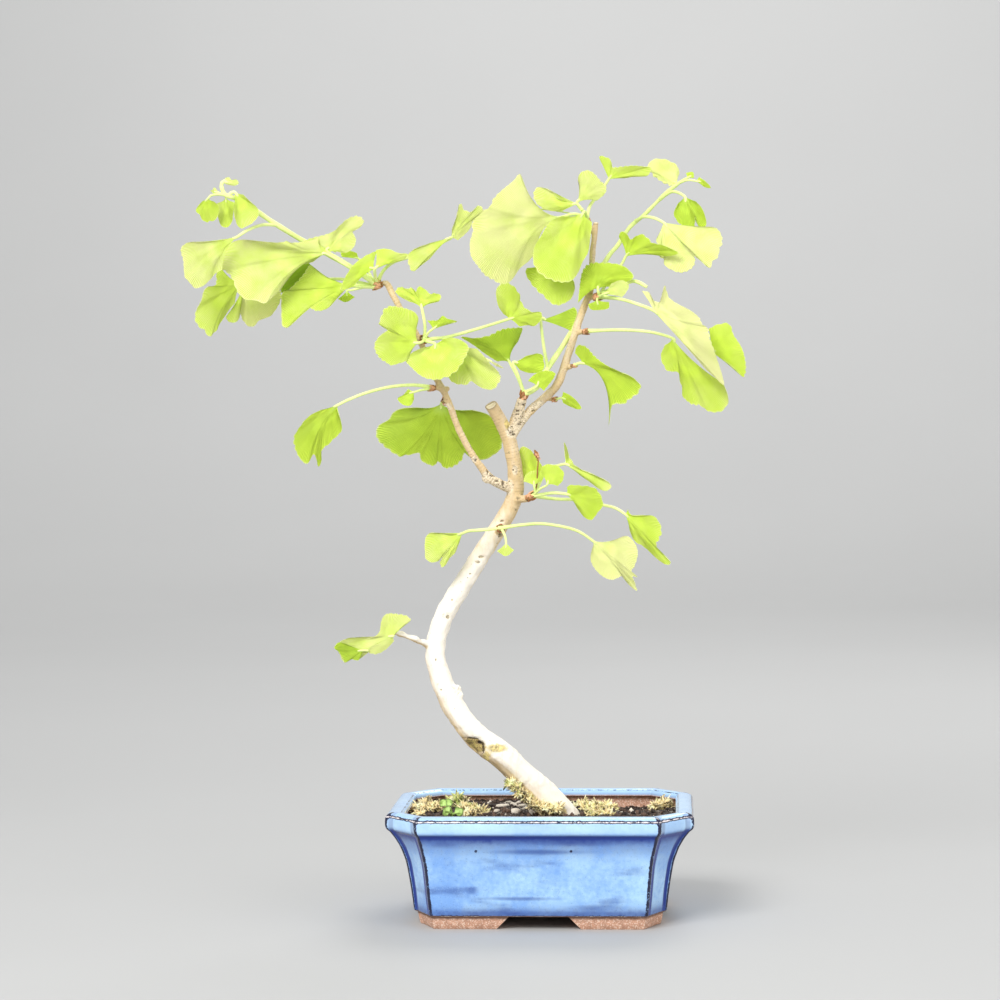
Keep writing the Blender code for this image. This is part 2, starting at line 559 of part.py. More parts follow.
def weld(mesh):
    """Join doubled points, such as a cap's with its tube's."""
    work = bmesh.new()
    work.from_mesh(mesh)
    bmesh.ops.remove_doubles(work, verts=work.verts, dist=0.01 * MM)
    bmesh.ops.recalc_face_normals(work, faces=work.faces)
    work.to_mesh(mesh)
    work.free()


def loft(name, rings, group):
    """Closed solid through level rings of equal count, with a flat floor and top."""
    work = bmesh.new()
    loops = [[work.verts.new(Vector(point) * MM) for point in ring] for ring in rings]
    for lower, upper in zip(loops, loops[1:]):
        for i in range(len(lower)):
            work.faces.new((lower[i - 1], lower[i], upper[i], upper[i - 1]))
    work.faces.new(loops[0])
    work.faces.new(loops[-1])
    bmesh.ops.recalc_face_normals(work, faces=work.faces)
    mesh = bpy.data.meshes.new(name)
    work.to_mesh(mesh)
    work.free()
    return mesh_object(name, mesh, group)


def ball(name, centre, radius, group):
    """Low round lump of that radius in millimetres, at a point in metres."""
    work = bmesh.new()
    bmesh.ops.create_icosphere(work, subdivisions=2, radius=radius * MM)
    bmesh.ops.translate(work, verts=work.verts, vec=centre)
    mesh = bpy.data.meshes.new(name)
    work.to_mesh(mesh)
    work.free()
    return mesh_object(name, mesh, group)


def combine(solid, others, operation, solver="EXACT"):
    """Boolean of the solid with all the others at once; the others are then removed."""
    tools = collection(solid.name + "_tools")
    for other in others:
        for group in other.users_collection:
            group.objects.unlink(other)
        tools.objects.link(other)
        other.hide_render = True
        other.display_type = "WIRE"
    cut = solid.modifiers.new(operation.lower(), "BOOLEAN")
    cut.operand_type = "COLLECTION"
    cut.collection = tools
    cut.operation = operation
    cut.solver = solver
    bpy.context.view_layer.update()
    view = bpy.context.evaluated_depsgraph_get()
    mesh = bpy.data.meshes.new_from_object(solid.evaluated_get(view))
    solid.modifiers.remove(cut)
    solid.data = mesh
    for other in others:
        bpy.data.objects.remove(other, do_unlink=True)
    bpy.data.collections.remove(tools)
    if solver == "EXACT":
        weld(solid.data)
    return solid


def around(corner):
    """Ring made of the same corner at all four corners of a rectangle, anticlockwise."""
    ring = []
    for side, end, step in ((1, -1, 1), (1, 1, -1), (-1, 1, 1), (-1, -1, -1)):
        ring.extend((side * x, end * y) for x, y in corner[::step])
    return ring


def pot_ring(height, half_width, half_depth, long_panel, short_panel, stand):
    """Outline of the pot at one height: panels that stand out from cut corners."""
    corner = (
        (long_panel, half_depth),
        (long_panel + 0.4 * stand, half_depth - stand),
        (half_width - stand, short_panel + 0.4 * stand),
        (half_width, short_panel),
    )
    return [(x, y, height) for x, y in around(corner)]


def cavity_ring(height, half_width, half_depth, cut, inset=0.0):
    """Outline of the cavity at one height, or of what fills it when inset."""
    corner = (
        (half_width - cut - 0.4 * inset, half_depth - inset),
        (half_width - inset, half_depth - cut - 0.4 * inset),
    )
    return [(x, y, height) for x, y in around(corner)]


def slab(name, low, high, floor, top, group):
    """Block with sloping sides: half sizes at its floor and at its top, and the two heights."""
    rings = [
        [(x, y, height) for x, y in around(((half_x, half_y),))]
        for (half_x, half_y), height in ((low, floor), (high, top))
    ]
    return loft(name, rings, group)


def rod(name, across, radius, floor, top, group):
    """Upright round bar on the pot's long middle line, all in millimetres."""
    ends = [Vector((across, 0.0, floor)) * MM, Vector((across, 0.0, top)) * MM]
    return tube(name, ends, (radius, radius), group, resolution=4)


def make_pot(group):
    """Glazed pot with its lip, its four feet and its drain holes, in one piece."""
    pot = loft("pot", [pot_ring(*level) for level in POT_LEVELS], group)
    below = -1.0
    mouth = [cavity_ring(height, *MOUTH) for height in (CAVITY_TOP + below, POT_HEIGHT - below)]
    tools = [
        loft("cavity", [cavity_ring(*level) for level in CAVITY_LEVELS], group),
        loft("mouth", mouth, group),
        slab("underside", UNDERSIDE, UNDERSIDE, below, ARCH_HEIGHT, group),
    ]
    low, high = ((half, POT_LENGTH) for half in FRONT_ARCH)
    tools.append(slab("front_arch", low, high, below, ARCH_HEIGHT, group))
    low, high = ((POT_LENGTH, half) for half in SIDE_ARCH)
    tools.append(slab("side_arch", low, high, below, ARCH_HEIGHT, group))
    for side in (-1, 1):
        tools.append(rod("drain", side * DRAIN_SPACING, DRAIN_RADIUS, below, WALL_FLOOR - below, group))
    combine(pot, tools, "DIFFERENCE")
    return pot


def make_screen(side, group):
    """Plastic mesh square that keeps the soil off one drain hole."""
    name = "drain_screen_left" if side < 0 else "drain_screen_right"
    floor = WALL_FLOOR + GAP
    half = SCREEN_SIDE / 2
    screen = slab(name, (half, half), (half, half), floor, floor + SCREEN_THICKNESS, group)
    holes = []
    for row in (-1, 0, 1):
        for column in (-1, 0, 1):
            hole = slab("hole", (SCREEN_HOLE / 2,) * 2, (SCREEN_HOLE / 2,) * 2, floor - 1, floor + 3, group)
            hole.data.transform(Matrix.Translation((column * SCREEN_PITCH * MM, row * SCREEN_PITCH * MM, 0)))
            holes.append(hole)
    combine(screen, holes, "DIFFERENCE")
    screen.data.transform(Matrix.Translation((side * DRAIN_SPACING * MM, 0.0, 0.0)))
    return screen


def soil_height(x, y):
    """Height of the soil's surface, in millimetres, at a place in millimetres."""
    foot = place(TRUNK[2]) / MM
    mound = SOIL_MOUND * math.exp(-((x - foot.x) ** 2 + (y - foot.y) ** 2) / (2 * MOUND_SPREAD ** 2))
    lumps = 0.5 * math.sin(0.31 * x + 0.7) * math.cos(0.27 * y) + 0.3 * math.sin(0.57 * x - 0.49 * y)
    return SOIL_TOP + mound + lumps


def make_soil(group):
    """Packed soil with a lumpy top, in the cavity's shape, with plain holes for what stands in it."""
    widest = CAVITY_LEVELS[-1]
    work = bmesh.new()
    bmesh.ops.create_grid(work, x_segments=SOIL_COLUMNS, y_segments=SOIL_ROWS, size=1.0)
    for corner in work.verts:
        x = corner.co.x * (widest[1] + 3.0)
        y = corner.co.y * (widest[2] + 3.0)
        corner.co = Vector((x, y, soil_height(x, y))) * MM
    skirt = bmesh.ops.extrude_face_region(work, geom=work.faces[:])
    for corner in (thing for thing in skirt["geom"] if isinstance(thing, bmesh.types.BMVert)):
        corner.co.z = WALL_FLOOR * MM
    bmesh.ops.recalc_face_normals(work, faces=work.faces)
    mesh = bpy.data.meshes.new("soil")
    work.to_mesh(mesh)
    work.free()
    soil = mesh_object("soil", mesh, group)
    levels = [cavity_ring(*level, inset=GAP) for level in CAVITY_LEVELS]
    levels[0] = [(x, y, z + GAP) for x, y, z in levels[0]]
    combine(soil, [loft("mould", levels, group)], "INTERSECT", "MANIFOLD")
    return soil


def hole_for(points, group):
    """Tool that leaves a gap round a stem in the soil."""
    spots = [place(point) for point in points]
    spots[0] = spots[0] + (spots[0] - spots[1]).normalized() * (2 * GAP * MM)
    radii = [point[3] / 2 + 1.5 * GAP for point in points]
    return tube("stem_hole", spots, radii, group, resolution=4)


def bar(name, points, group, resolution=2):
    """Wood along picture points that carry their diameter in millimetres."""
    spots = [place(point) for point in points]
    return tube(name, spots, [point[3] / 2 for point in points], group, resolution)


def make_trunk(group):
    """All the wood in one piece: trunk, two branches, twig, spurs and swellings."""
    trunk = bar("trunk", TRUNK, group, resolution=4)
    grown = [bar("left_branch", LEFT_BRANCH, group), bar("leader", LEADER, group)]
    grown.extend(bar(name, points, group) for name, points in SIDE_WOOD.items())
    grown.extend(ball("knot", place(knot), knot[3], group) for knot in KNOTS)
    combine(trunk, grown, "UNION")
    return trunk


def margin_path(leaf):
    """Outer edge of a leaf, with points added where its own lie far apart."""
    padded = [leaf.margin[0], *leaf.margin, leaf.margin[-1]]
    path = [leaf.margin[0]]
    for i in range(len(leaf.margin) - 1):
        start, end = leaf.margin[i], leaf.margin[i + 1]
        pieces = max(1, round(math.dist(start, end) / MARGIN_STEP))
        curve = smooth_path(padded[i:i + 4], pieces)
        path.extend(curve[pieces + 1:2 * pieces])
        path.append(end)
    return path


def fanned(leaf, path):
    """Outer edge with its points turned round the stalk's end just enough to follow one another."""
    base = leaf.stalk[-1]
    turns = []
    for across, down in path:
        turn = math.atan2(down - base[1], across - base[0])
        if turns:
            turn += math.tau * round((turns[-1] - turn) / math.tau)
        turns.append(turn)
    way = 1 if turns[-1] > turns[0] else -1
    runs = []
    for i, turn in enumerate(turns):
        runs.append((way * turn - i * MARGIN_TURN, 1))
        while len(runs) > 1 and runs[-2][0] > runs[-1][0]:
            (late, late_count), (early, early_count) = runs.pop(), runs.pop()
            count = early_count + late_count
            runs.append(((early * early_count + late * late_count) / count, count))
    levels = [level for level, count in runs for _ in range(count)]
    fan = []
    for i, (spot, level) in enumerate(zip(path, levels)):
        turn = way * (level + i * MARGIN_TURN)
        reach = math.dist(base[:2], spot)
        fan.append((base[0] + reach * math.cos(turn), base[1] + reach * math.sin(turn)))
    return fan


def leaf_spot(leaf, across, down, extra=0.0):
    """Picture point on the leaf's leaning plane."""
    base = leaf.stalk[-1]
    behind = base[2] + leaf.lean[0] * (across - base[0]) + leaf.lean[1] * (down - base[1])
    return (across, down, behind + extra)


def leaf_axis(leaf):
    """Direction in the picture in which a leaf leaves its stalk."""
    if leaf.axis:
        return Vector(leaf.axis).normalized()
    end, before = leaf.stalk[-1], leaf.stalk[-2]
    return Vector((end[0] - before[0], end[1] - before[1])).normalized()


def make_blade(leaf, phase, group):
    """Thin fan whose ribs leave the stalk together and spread to the outer edge."""
    base = Vector(leaf.stalk[-1][:2])
    axis = leaf_axis(leaf)
    margin = fanned(leaf, margin_path(leaf))
    work = bmesh.new()
    point = work.verts.new(place(leaf.stalk[-1]))
    rows = []
    for along in RIB_ROWS:
        row = []
        for i, edge in enumerate(margin):
            reach = Vector(edge) - base
            spot = base + axis * (2 * along * (1 - along) * leaf.pinch * reach.length) + reach * along ** 2
            spot += reach * ((1 - 2 * leaf.pinch) * along * (1 - along))
            wave = RIPPLE * math.sin(math.tau * RIPPLE_WAVES * i / len(margin) + phase)
            behind = (wave + leaf.curl * (i / len(margin) - 0.5)) * along ** 2
            row.append(work.verts.new(place(leaf_spot(leaf, spot.x, spot.y, behind))))
        rows.append(row)
    for left, right in zip(rows[0], rows[0][1:]):
        work.faces.new((point, left, right))
    for inner, outer in zip(rows, rows[1:]):
        for i in range(len(inner) - 1):
            work.faces.new((inner[i], outer[i], outer[i + 1]))
            work.faces.new((inner[i], outer[i + 1], inner[i + 1]))
    mesh = bpy.data.meshes.new("blade")
    work.to_mesh(mesh)
    work.free()
    sheet = mesh_object("blade", mesh, group)
    wall = sheet.modifiers.new("thickness", "SOLIDIFY")
    wall.thickness = BLADE_THICKNESS * MM
    wall.offset = 0.0
    bpy.context.view_layer.update()
    solid = baked(sheet, "blade", group)
    weld(solid.data)
    return solid


def make_stalk(leaf, group):
    """Stalk that ends inside the fan's point."""
    axis = leaf_axis(leaf)
    base = leaf.stalk[-1]
    path = [*leaf.stalk, leaf_spot(leaf, base[0] + STALK_SINK * axis.x, base[1] + STALK_SINK * axis.y)]
    size = max(math.dist(base[:2], edge) for edge in leaf.margin)
    thick = STALK_RADIUS if size > SMALL_LEAF else SMALL_STALK * STALK_RADIUS
    radii = [thick] * (len(path) - 2) + [0.8 * thick, 0.55 * thick]
    return tube("stalk", [place(point) for point in path], radii, group)


def make_knob(spray, group):
    """Scaly knob of the bud, just clear of the wood's end."""
    start, end = place(spray.bud), place(spray.tip)
    along = end - start
    first = along.normalized() * (GAP + 0.1) * MM
    shape = ((0.0, 0.4), (0.25, 0.95), (0.6, 1.0), (1.0, 0.6))
    points = [start + first + (along - first) * share for share, _ in shape]
    return tube("knob", points, [spray.knob * width for _, width in shape], group, resolution=2)


def make_shoot(points, group):
    """Green shoot that tapers to its end."""
    path = [place(point) for point in points]
    last = len(path) - 1
    radii = [SHOOT_RADIUS + (SHOOT_END_RADIUS - SHOOT_RADIUS) * i / last for i in range(last + 1)]
    return tube("shoot", path, radii, group)


def make_spray(name, spray, draw, group):
    """All the green of one bud, fused in one piece."""
    grown = [make_shoot(points, group) for points in spray.shoots]
    for leaf in spray.leaves.values():
        grown.append(make_stalk(leaf, group))
        grown.append(make_blade(leaf, draw.uniform(0.0, math.tau), group))
    knob = make_knob(spray, group)
    knob.name = name
    return combine(knob, grown, "UNION", "MANIFOLD")


def make_seedling(draw, group):
    """Small weed with three round leaves."""
    stem = bar("seedling", SEEDLING_STEM, group, resolution=1)
    grown = []
    for leaf in SEEDLING.values():
        grown.append(make_stalk(leaf, group))
        grown.append(make_blade(leaf, draw.uniform(0.0, math.tau), group))
    return combine(stem, grown, "UNION", "MANIFOLD")


def finish(solid, colour, roughness, root):
    """Give a solid its material, put its origin at its middle and hang it on the assembly."""
    solid.data.materials.clear()
    solid.data.materials.append(material(solid.name + "_finish", colour, roughness))
    middle = sum((corner.co for corner in solid.data.vertices), Vector()) / len(solid.data.vertices)
    solid.data.transform(Matrix.Translation(-middle))
    solid.location = middle
    solid.parent = root


def centre_assembly(root, solids):
    """Move the assembly so that its outer box stands centred on the origin."""
    bpy.context.view_layer.update()
    corners = [solid.matrix_world @ corner.co for solid in solids for corner in solid.data.vertices]
    for axis in (0, 1):
        low = min(corner[axis] for corner in corners)
        high = max(corner[axis] for corner in corners)
        root.location[axis] = -(low + high) / 2


def main():
    """Build the whole tree in its pot."""
    clear_scene()
    group = collection("ginkgo_bonsai")
    root = bpy.data.objects.new("assembly", None)
    group.objects.link(root)
    draw = random.Random(7)

    pot = make_pot(group)
    screens = [make_screen(side, group) for side in (-1, 1)]
    soil = make_soil(group)
    pockets = [hole_for(TRUNK[:5], group), hole_for(SEEDLING_STEM, group)]
    pockets.extend(ball("foot_hole", place(knot), knot[3] + 1.5 * GAP, group) for knot in KNOTS[2:])
    for side in (-1, 1):
        half = SCREEN_SIDE / 2 + GAP
        top = WALL_FLOOR + SCREEN_THICKNESS + 2 * GAP
        pocket = slab("pocket", (half, half), (half, half), WALL_FLOOR - 1, top, group)
        pocket.data.transform(Matrix.Translation((side * DRAIN_SPACING * MM, 0.0, 0.0)))
        pockets.append(pocket)
    combine(soil, pockets, "DIFFERENCE", "MANIFOLD")
    trunk = make_trunk(group)
    greens = [make_spray(name, spray, draw, group) for name, spray in SPRAYS.items()]
    greens.append(make_seedling(draw, group))

    finish(pot, (0.28, 0.48, 0.86), 0.2, root)
    for screen in screens:
        finish(screen, (0.03, 0.03, 0.03), 0.6, root)
    finish(soil, (0.09, 0.06, 0.04), 0.95, root)
    finish(trunk, (0.72, 0.62, 0.48), 0.8, root)
    for green in greens:
        finish(green, (0.55, 0.78, 0.12), 0.45, root)
    centre_assembly(root, [pot, *screens, soil, trunk, *greens])


main()
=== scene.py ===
"""Looks of a young ginkgo bonsai in a blue glazed pot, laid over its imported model.

Branches, stalks and leaves are set out as the viewer sees them: across and down in thousandths of a
square picture, and millimetres behind the pot's middle plane. place() turns that into a point.
"""
import math
import random

import bmesh
import bpy
import numpy as np
from bpy.props import FloatProperty, FloatVectorProperty, IntProperty, PointerProperty
from mathutils import Euler, Matrix, Vector


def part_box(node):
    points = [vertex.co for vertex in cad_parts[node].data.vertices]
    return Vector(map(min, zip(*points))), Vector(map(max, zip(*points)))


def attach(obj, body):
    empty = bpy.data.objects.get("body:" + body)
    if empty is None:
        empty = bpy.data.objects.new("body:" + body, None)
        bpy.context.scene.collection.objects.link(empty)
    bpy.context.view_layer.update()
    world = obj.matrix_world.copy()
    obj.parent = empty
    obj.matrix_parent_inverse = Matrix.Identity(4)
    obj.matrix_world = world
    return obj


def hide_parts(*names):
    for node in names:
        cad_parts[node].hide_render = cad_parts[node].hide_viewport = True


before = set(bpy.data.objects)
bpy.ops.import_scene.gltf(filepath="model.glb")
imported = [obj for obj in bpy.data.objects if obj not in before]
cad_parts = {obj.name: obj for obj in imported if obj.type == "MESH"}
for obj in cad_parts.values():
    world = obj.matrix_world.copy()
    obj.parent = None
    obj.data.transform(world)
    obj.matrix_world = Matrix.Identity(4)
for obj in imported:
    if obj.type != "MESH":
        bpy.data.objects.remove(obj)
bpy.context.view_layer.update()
POT_LOW, POT_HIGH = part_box("pot")
POT_CENTRE = (POT_LOW + POT_HIGH) / 2

bl_info = {
    "name": "Ginkgo bonsai",
    "version": (1, 0, 0),
    "blender": (4, 5, 0),
    "location": "View3D > Sidebar > Bonsai",
    "description": "Dresses the ginkgo, its pot and its soil",
    "category": "Object",
}

MM = 0.001
SOIL_SEED = 3
WEED_SEED = 5
LEAF_SEED = 7
MOSS_SEED = 11

# The eye that sees the picture, in millimetres from the middle of the pot's foot
EYE = Vector((65.7, -1350.4, 246.4))
EYE_DOWN = 1.739
EYE_LEFT = 3.624
EYE_ROLL = -0.495
SLOPE_UNITS = 2730.0
PICTURE_MIDDLE = 500.0
SENSOR = 36.0

# Outside of the pot from the table up: height, half width, half depth, half length of the long
# panel, half length of the short panel, how far the panels stand out, how much the glaze pools
# there and how thin it runs there
POT_OUTSIDE = (
    (0.0, 57.6, 45.2, 50.0, 31.0, 1.2, 0, 0), (0.6, 58.6, 46.2, 50.6, 31.6, 1.2, 0, 0),
    (5.6, 59.6, 47.0, 51.3, 32.1, 1.2, 0, 0), (6.2, 60.0, 47.4, 51.5, 32.3, 1.2, 0, 0),
    (6.5, 60.9, 48.2, 52.0, 32.6, 1.5, 0.3, 0.9), (7.0, 61.4, 48.6, 52.2, 32.8, 1.7, 0.5, 0.45),
    (8.6, 61.7, 48.8, 52.4, 32.9, 1.8, 0.5, 0), (11.0, 62.0, 49.0, 52.6, 33.0, 1.9, 0.25, 0),
    (15.0, 62.5, 49.4, 53.0, 33.3, 2.1, 0.05, 0), (20.0, 63.2, 49.8, 53.4, 33.6, 2.2, 0, 0),
    (26.0, 64.2, 50.4, 53.9, 33.9, 2.3, 0, 0), (31.0, 65.2, 51.0, 54.4, 34.2, 2.4, 0.05, 0),
    (35.0, 66.6, 51.7, 55.1, 34.5, 2.5, 0.15, 0), (38.0, 67.8, 52.3, 55.7, 34.8, 2.6, 0.3, 0),
    (41.0, 69.5, 52.9, 56.4, 35.1, 2.7, 0.4, 0), (43.0, 70.8, 53.3, 56.9, 35.3, 2.8, 0.55, 0),
    (44.4, 71.9, 53.6, 57.2, 35.4, 2.8, 0.7, 0), (45.5, 72.8, 54.0, 57.6, 35.6, 2.9, 0.9, 0),
    (46.3, 73.8, 54.7, 58.1, 35.9, 3.1, 0.6, 0), (47.3, 74.6, 55.3, 58.5, 36.2, 3.2, 0.2, 0),
    (48.6, 74.95, 55.55, 58.75, 36.35, 3.3, 0.03, 0), (50.0, 75.0, 55.6, 58.8, 36.4, 3.4, 0, 0),
    (51.4, 74.95, 55.55, 58.8, 36.4, 3.4, 0, 0.1), (52.3, 74.8, 55.4, 58.7, 36.35, 3.4, 0.1, 0.42),
    (52.8, 74.6, 55.2, 58.6, 36.3, 3.3, 0.1, 0.76), (53.2, 74.35, 54.95, 58.4, 36.2, 3.2, 0.1, 0.70),
    (53.65, 73.95, 54.55, 58.15, 36.05, 3.05, 0.1, 0.44), (54.3, 73.1, 53.7, 57.8, 35.8, 2.7, 0, 0.1),
    (54.7, 72.1, 52.8, 57.4, 35.6, 2.3, 0, 0), (54.95, 70.8, 51.5, 56.8, 35.3, 1.7, 0, 0),
    (55.0, 69.6, 50.2, 56.2, 35.0, 1.2, 0, 0), (54.9, 68.4, 49.0, 55.4, 34.7, 0.8, 0, 0.1),
    (54.5, 67.4, 48.0, 54.5, 34.4, 0.5, 0, 0.44), (54.0, 66.6, 47.2, 53.9, 34.2, 0.4, 0, 0.3),
    (53.4, 66.15, 46.75, 53.6, 34.1, 0.4, 0, 0), (52.4, 66.0, 46.6, 53.5, 34.1, 0.4, 0.5, 0),
)
# The bare inside from under the lip down to the floor
POT_INSIDE = (
    (51.7, 66.0, 46.6, 53.5, 34.1, 0.4), (51.3, 66.6, 47.4, 54.0, 34.8, 0.4),
    (51.2, 67.8, 49.4, 55.0, 36.6, 0.4), (50.4, 68.2, 49.8, 55.2, 36.8, 0.4),
    (43.0, 65.8, 48.6, 53.8, 36.6, 0.4), (31.0, 60.0, 45.6, 50.0, 35.6, 0.4),
    (14.0, 56.8, 43.4, 47.8, 34.4, 0.4), (12.4, 56.2, 42.8, 47.4, 34.0, 0.4),
    (12.0, 55.0, 41.6, 46.4, 33.0, 0.4),
)
# The pot's outline: rounding of its corners, the plain strip beside each, and steps along each stretch
EDGE_ROUND = 0.9
EDGE_STRIP = 1.1
ARC_STEPS = 4
LONG_PANEL_STEPS = 13
SHORT_PANEL_STEPS = 7
CHAMFER_STEPS = 4
# Glaze pools in inner corners and runs thin on outer ones, fully where the panels stand out this far
CORNER_POOL = 0.8
CORNER_THIN = 0.56
SHARP_STAND = 2.0
# Cuts under the pot: height, half widths at the table and at the top, and how far the arches run
ARCH_HEIGHT = 6.3
FRONT_ARCH = (21.5, 14.3)
SIDE_ARCH = (17.0, 11.0)
UNDERSIDE = (42.0, 30.0)
BELOW_POT = -1.0
PAST_POT = 90.0
DRAIN_RADIUS = 7.0
DRAIN_SPACING = 30.0
# Heights between which one look of the pot fades into the next
CLAY_END = (6.95, 6.5)
SCORCH_START = (4.6, 5.9)
SCORCH_END = (9.0, 8.0)
PALE_LIP = (46.2, 48.4)
# Pits in the glaze, by their place in the picture
PITS = ((476, 851, -52), (571, 851, -52))
# Strokes of deeper glaze on the front: across, down, behind, half width, half height, strength
STROKES = (
    (540, 852, -52, 34, 1.9, 0.6), (520, 899, -50, 30, 1.5, 0.55), (472, 891, -50, 4.5, 2.6, 0.5),
    (575, 843, -53, 26, 2.6, 0.5), (600, 908, -50, 22, 2.2, 0.4), (445, 845, -53, 12, 2.4, 0.35),
)
STROKE_REACH = 40.0

SOIL_FLOOR = 12.4
SOIL_TOP = 48.9
SOIL_MOUND = 0.4
MOUND_SPREAD = 20.0
SOIL_HOLLOW = 4.2
HOLLOW_SPOT = (44.0, 40.0)
HOLLOW_SPREAD = (18.0, 22.0)
SOIL_GAP = 0.3
SOIL_SHEET = (70.0, 51.5, 0.0)
SOIL_GRID = (170, 130)
# Fine unevenness of the soil: height, two wave numbers and an offset
SOIL_WAVES = ((0.35, 1.1, 0.7, 0.4), (0.25, 2.3, 1.3, 2.1), (0.15, 4.1, 2.9, 4.4))
# Loose grains: half sizes that they are drawn over and kept in, its cut corners, and the share used
GRAIN_DRAW = (67.0, 49.0)
GRAIN_ROOM = (67.0, 48.6)
GRAIN_CORNER = 104.0
GRAIN_EDGE = 0.97
CRUMB_RADII = (0.5, 1.6)
GRIT_RADII = (0.4, 1.0)
GRIT_COUNT = 110
# Pale stones and flakes by their place in the picture: across, down, radius, stretch, flatness, tone
PEBBLES = (
    (515.4, 814.0, 2.6, 1.1, 0.8, 1.0), (502.5, 807.5, 1.8, 2.2, 0.5, 0.9),
    (495.4, 812.5, 1.6, 1.8, 0.5, 0.7), (489, 811.0, 1.1, 1.2, 0.6, 0.4),
    (481, 810.0, 1.3, 1.2, 0.6, 0.5), (508.7, 803.0, 1.1, 1.8, 0.5, 0.5),
    (514.4, 806.0, 1.6, 1.7, 0.5, 0.8), (527, 809.5, 2.0, 2.0, 0.5, 1.0), (519, 803.0, 1.7, 1.5, 0.6, 0.9),
    (522, 806.5, 1.8, 1.8, 0.6, 1.0), (534, 815.0, 2.0, 2.0, 0.5, 0.9), (548, 814.5, 1.7, 1.2, 0.8, 1.0),
    (533, 806.0, 1.1, 1.6, 0.5, 0.6), (556, 815.0, 1.3, 2.0, 0.4, 0.9), (631, 812.0, 1.1, 1.2, 1.8, 0.9),
    (622, 813.5, 0.9, 1.6, 0.5, 0.7), (637, 812.0, 1.0, 1.8, 0.4, 0.6), (499, 815.0, 1.0, 1.6, 0.5, 0.3),
)
# Moss tufts by their place in the picture: across and down of the foot, millimetres behind for those
# on the bark (None for those on the soil), half width and height in millimetres, how green
MOSS_TUFTS = (
    (416, 811, None, 3.6, 3.6, 0.1), (423, 812, None, 4.0, 4.6, 0.05), (432, 812, None, 4.0, 5.0, 0.15),
    (439, 811, None, 3.6, 4.6, 0.1), (427, 806, None, 3.6, 3.4, 0.1), (418, 815, None, 3.0, 2.0, 0.0),
    (458, 807, None, 2.6, 8.0, 0.85), (463, 806, None, 2.6, 6.4, 0.5), (466, 812, None, 3.6, 5.6, 0.15),
    (474, 813, None, 3.8, 4.8, 0.3), (481, 814, None, 3.0, 3.0, 0.2), (470, 816, None, 3.4, 3.0, 0.1),
    (511, 785, -14, 2.3, 2.6, 0.5), (516, 789, -14, 2.3, 2.2, 0.3), (521, 794, -13, 2.4, 2.2, 0.2),
    (527, 799, -12, 2.6, 2.2, 0.2), (534, 805, -11, 2.8, 2.6, 0.1), (541, 809, -11, 2.8, 2.6, 0.1),
    (549, 810, -11, 3.0, 3.0, 0.2), (557, 810, -11, 2.8, 2.2, 0.1), (543, 816, None, 3.2, 3.0, 0.1),
    (582, 808, None, 3.2, 4.4, 0.2), (588, 811, None, 3.8, 5.2, 0.3), (596, 811, None, 3.8, 5.4, 0.25),
    (604, 810, None, 4.0, 5.0, 0.3), (611, 810, None, 3.4, 4.4, 0.2), (592, 815, None, 3.6, 3.4, 0.3),
    (606, 815, None, 3.4, 2.6, 0.2), (599, 806, None, 3.6, 3.0, 0.2),
    (655, 808, None, 3.2, 5.2, 0.1), (662, 807, None, 3.4, 5.6, 0.15), (668, 806, None, 3.0, 4.6, 0.1),
    (452, 803, None, 3.0, 3.0, 0.4), (560, 804, None, 3.0, 2.4, 0.3),
)
STRANDS = 110
# A moss strand's sections: share of its length and share of its width
STRAND_LEVELS = ((0.0, 0.8), (0.3, 1.0), (0.65, 0.9), (1.0, 0.35))
STRAND_THICK = (0.55, 1.05)
STRAND_FLAT = 0.6

# The wood: across, down, behind, diameter in millimetres
TRUNK = (
    (580, 848, 4, 9.0), (573, 830, 2, 13.6), (562, 815, 0, 15.6), (542, 793, -3, 14.6),
    (522.5, 775, -6, 13.2), (503.5, 757, -8, 13.5), (480.5, 740, -9, 12.8), (463.2, 721, -9, 11.6),
    (448.2, 696, -8, 11.0), (437.5, 667, -6, 10.2), (435.7, 645, -4, 9.8), (444, 616, -1, 9.8),
    (461, 587, 2, 9.8), (479, 558, 4, 9.4), (497, 530, 5, 9.0), (511, 506, 5, 8.6),
    (516, 488, 4, 8.2), (514, 462, 2, 7.6), (508, 437, 0, 7.2), (500, 420, -2, 6.8),
    (490.2, 403.5, -4.5, 6.4),
)
LEFT_BRANCH = (
    (512, 489, 4, 5.0), (500, 484, 0, 4.9), (489, 477.5, -3, 4.6), (481.5, 468, -5, 3.8), (469, 449, -8, 3.5),
    (459, 430, -10, 3.4), (447, 398, -13, 3.4), (438, 381, -14, 3.4), (419, 339, -14, 3.2),
    (400, 308, -12, 3.1), (389, 287, -10, 3.4), (385, 283, -10, 3.0), (381, 284, -10.5, 2.6),
)
LEADER = (
    (509, 440, 1, 5.0), (527, 414, 6, 4.6), (554, 389, 10, 4.4), (562, 373, 12, 4.4),
    (571, 346, 14, 4.0), (579, 321, 15, 3.9), (586, 302, 16, 3.8), (590, 290, 16, 3.6),
    (592, 261, 16, 3.2), (594, 240, 15, 3.0), (596, 222, 14, 2.8),
)
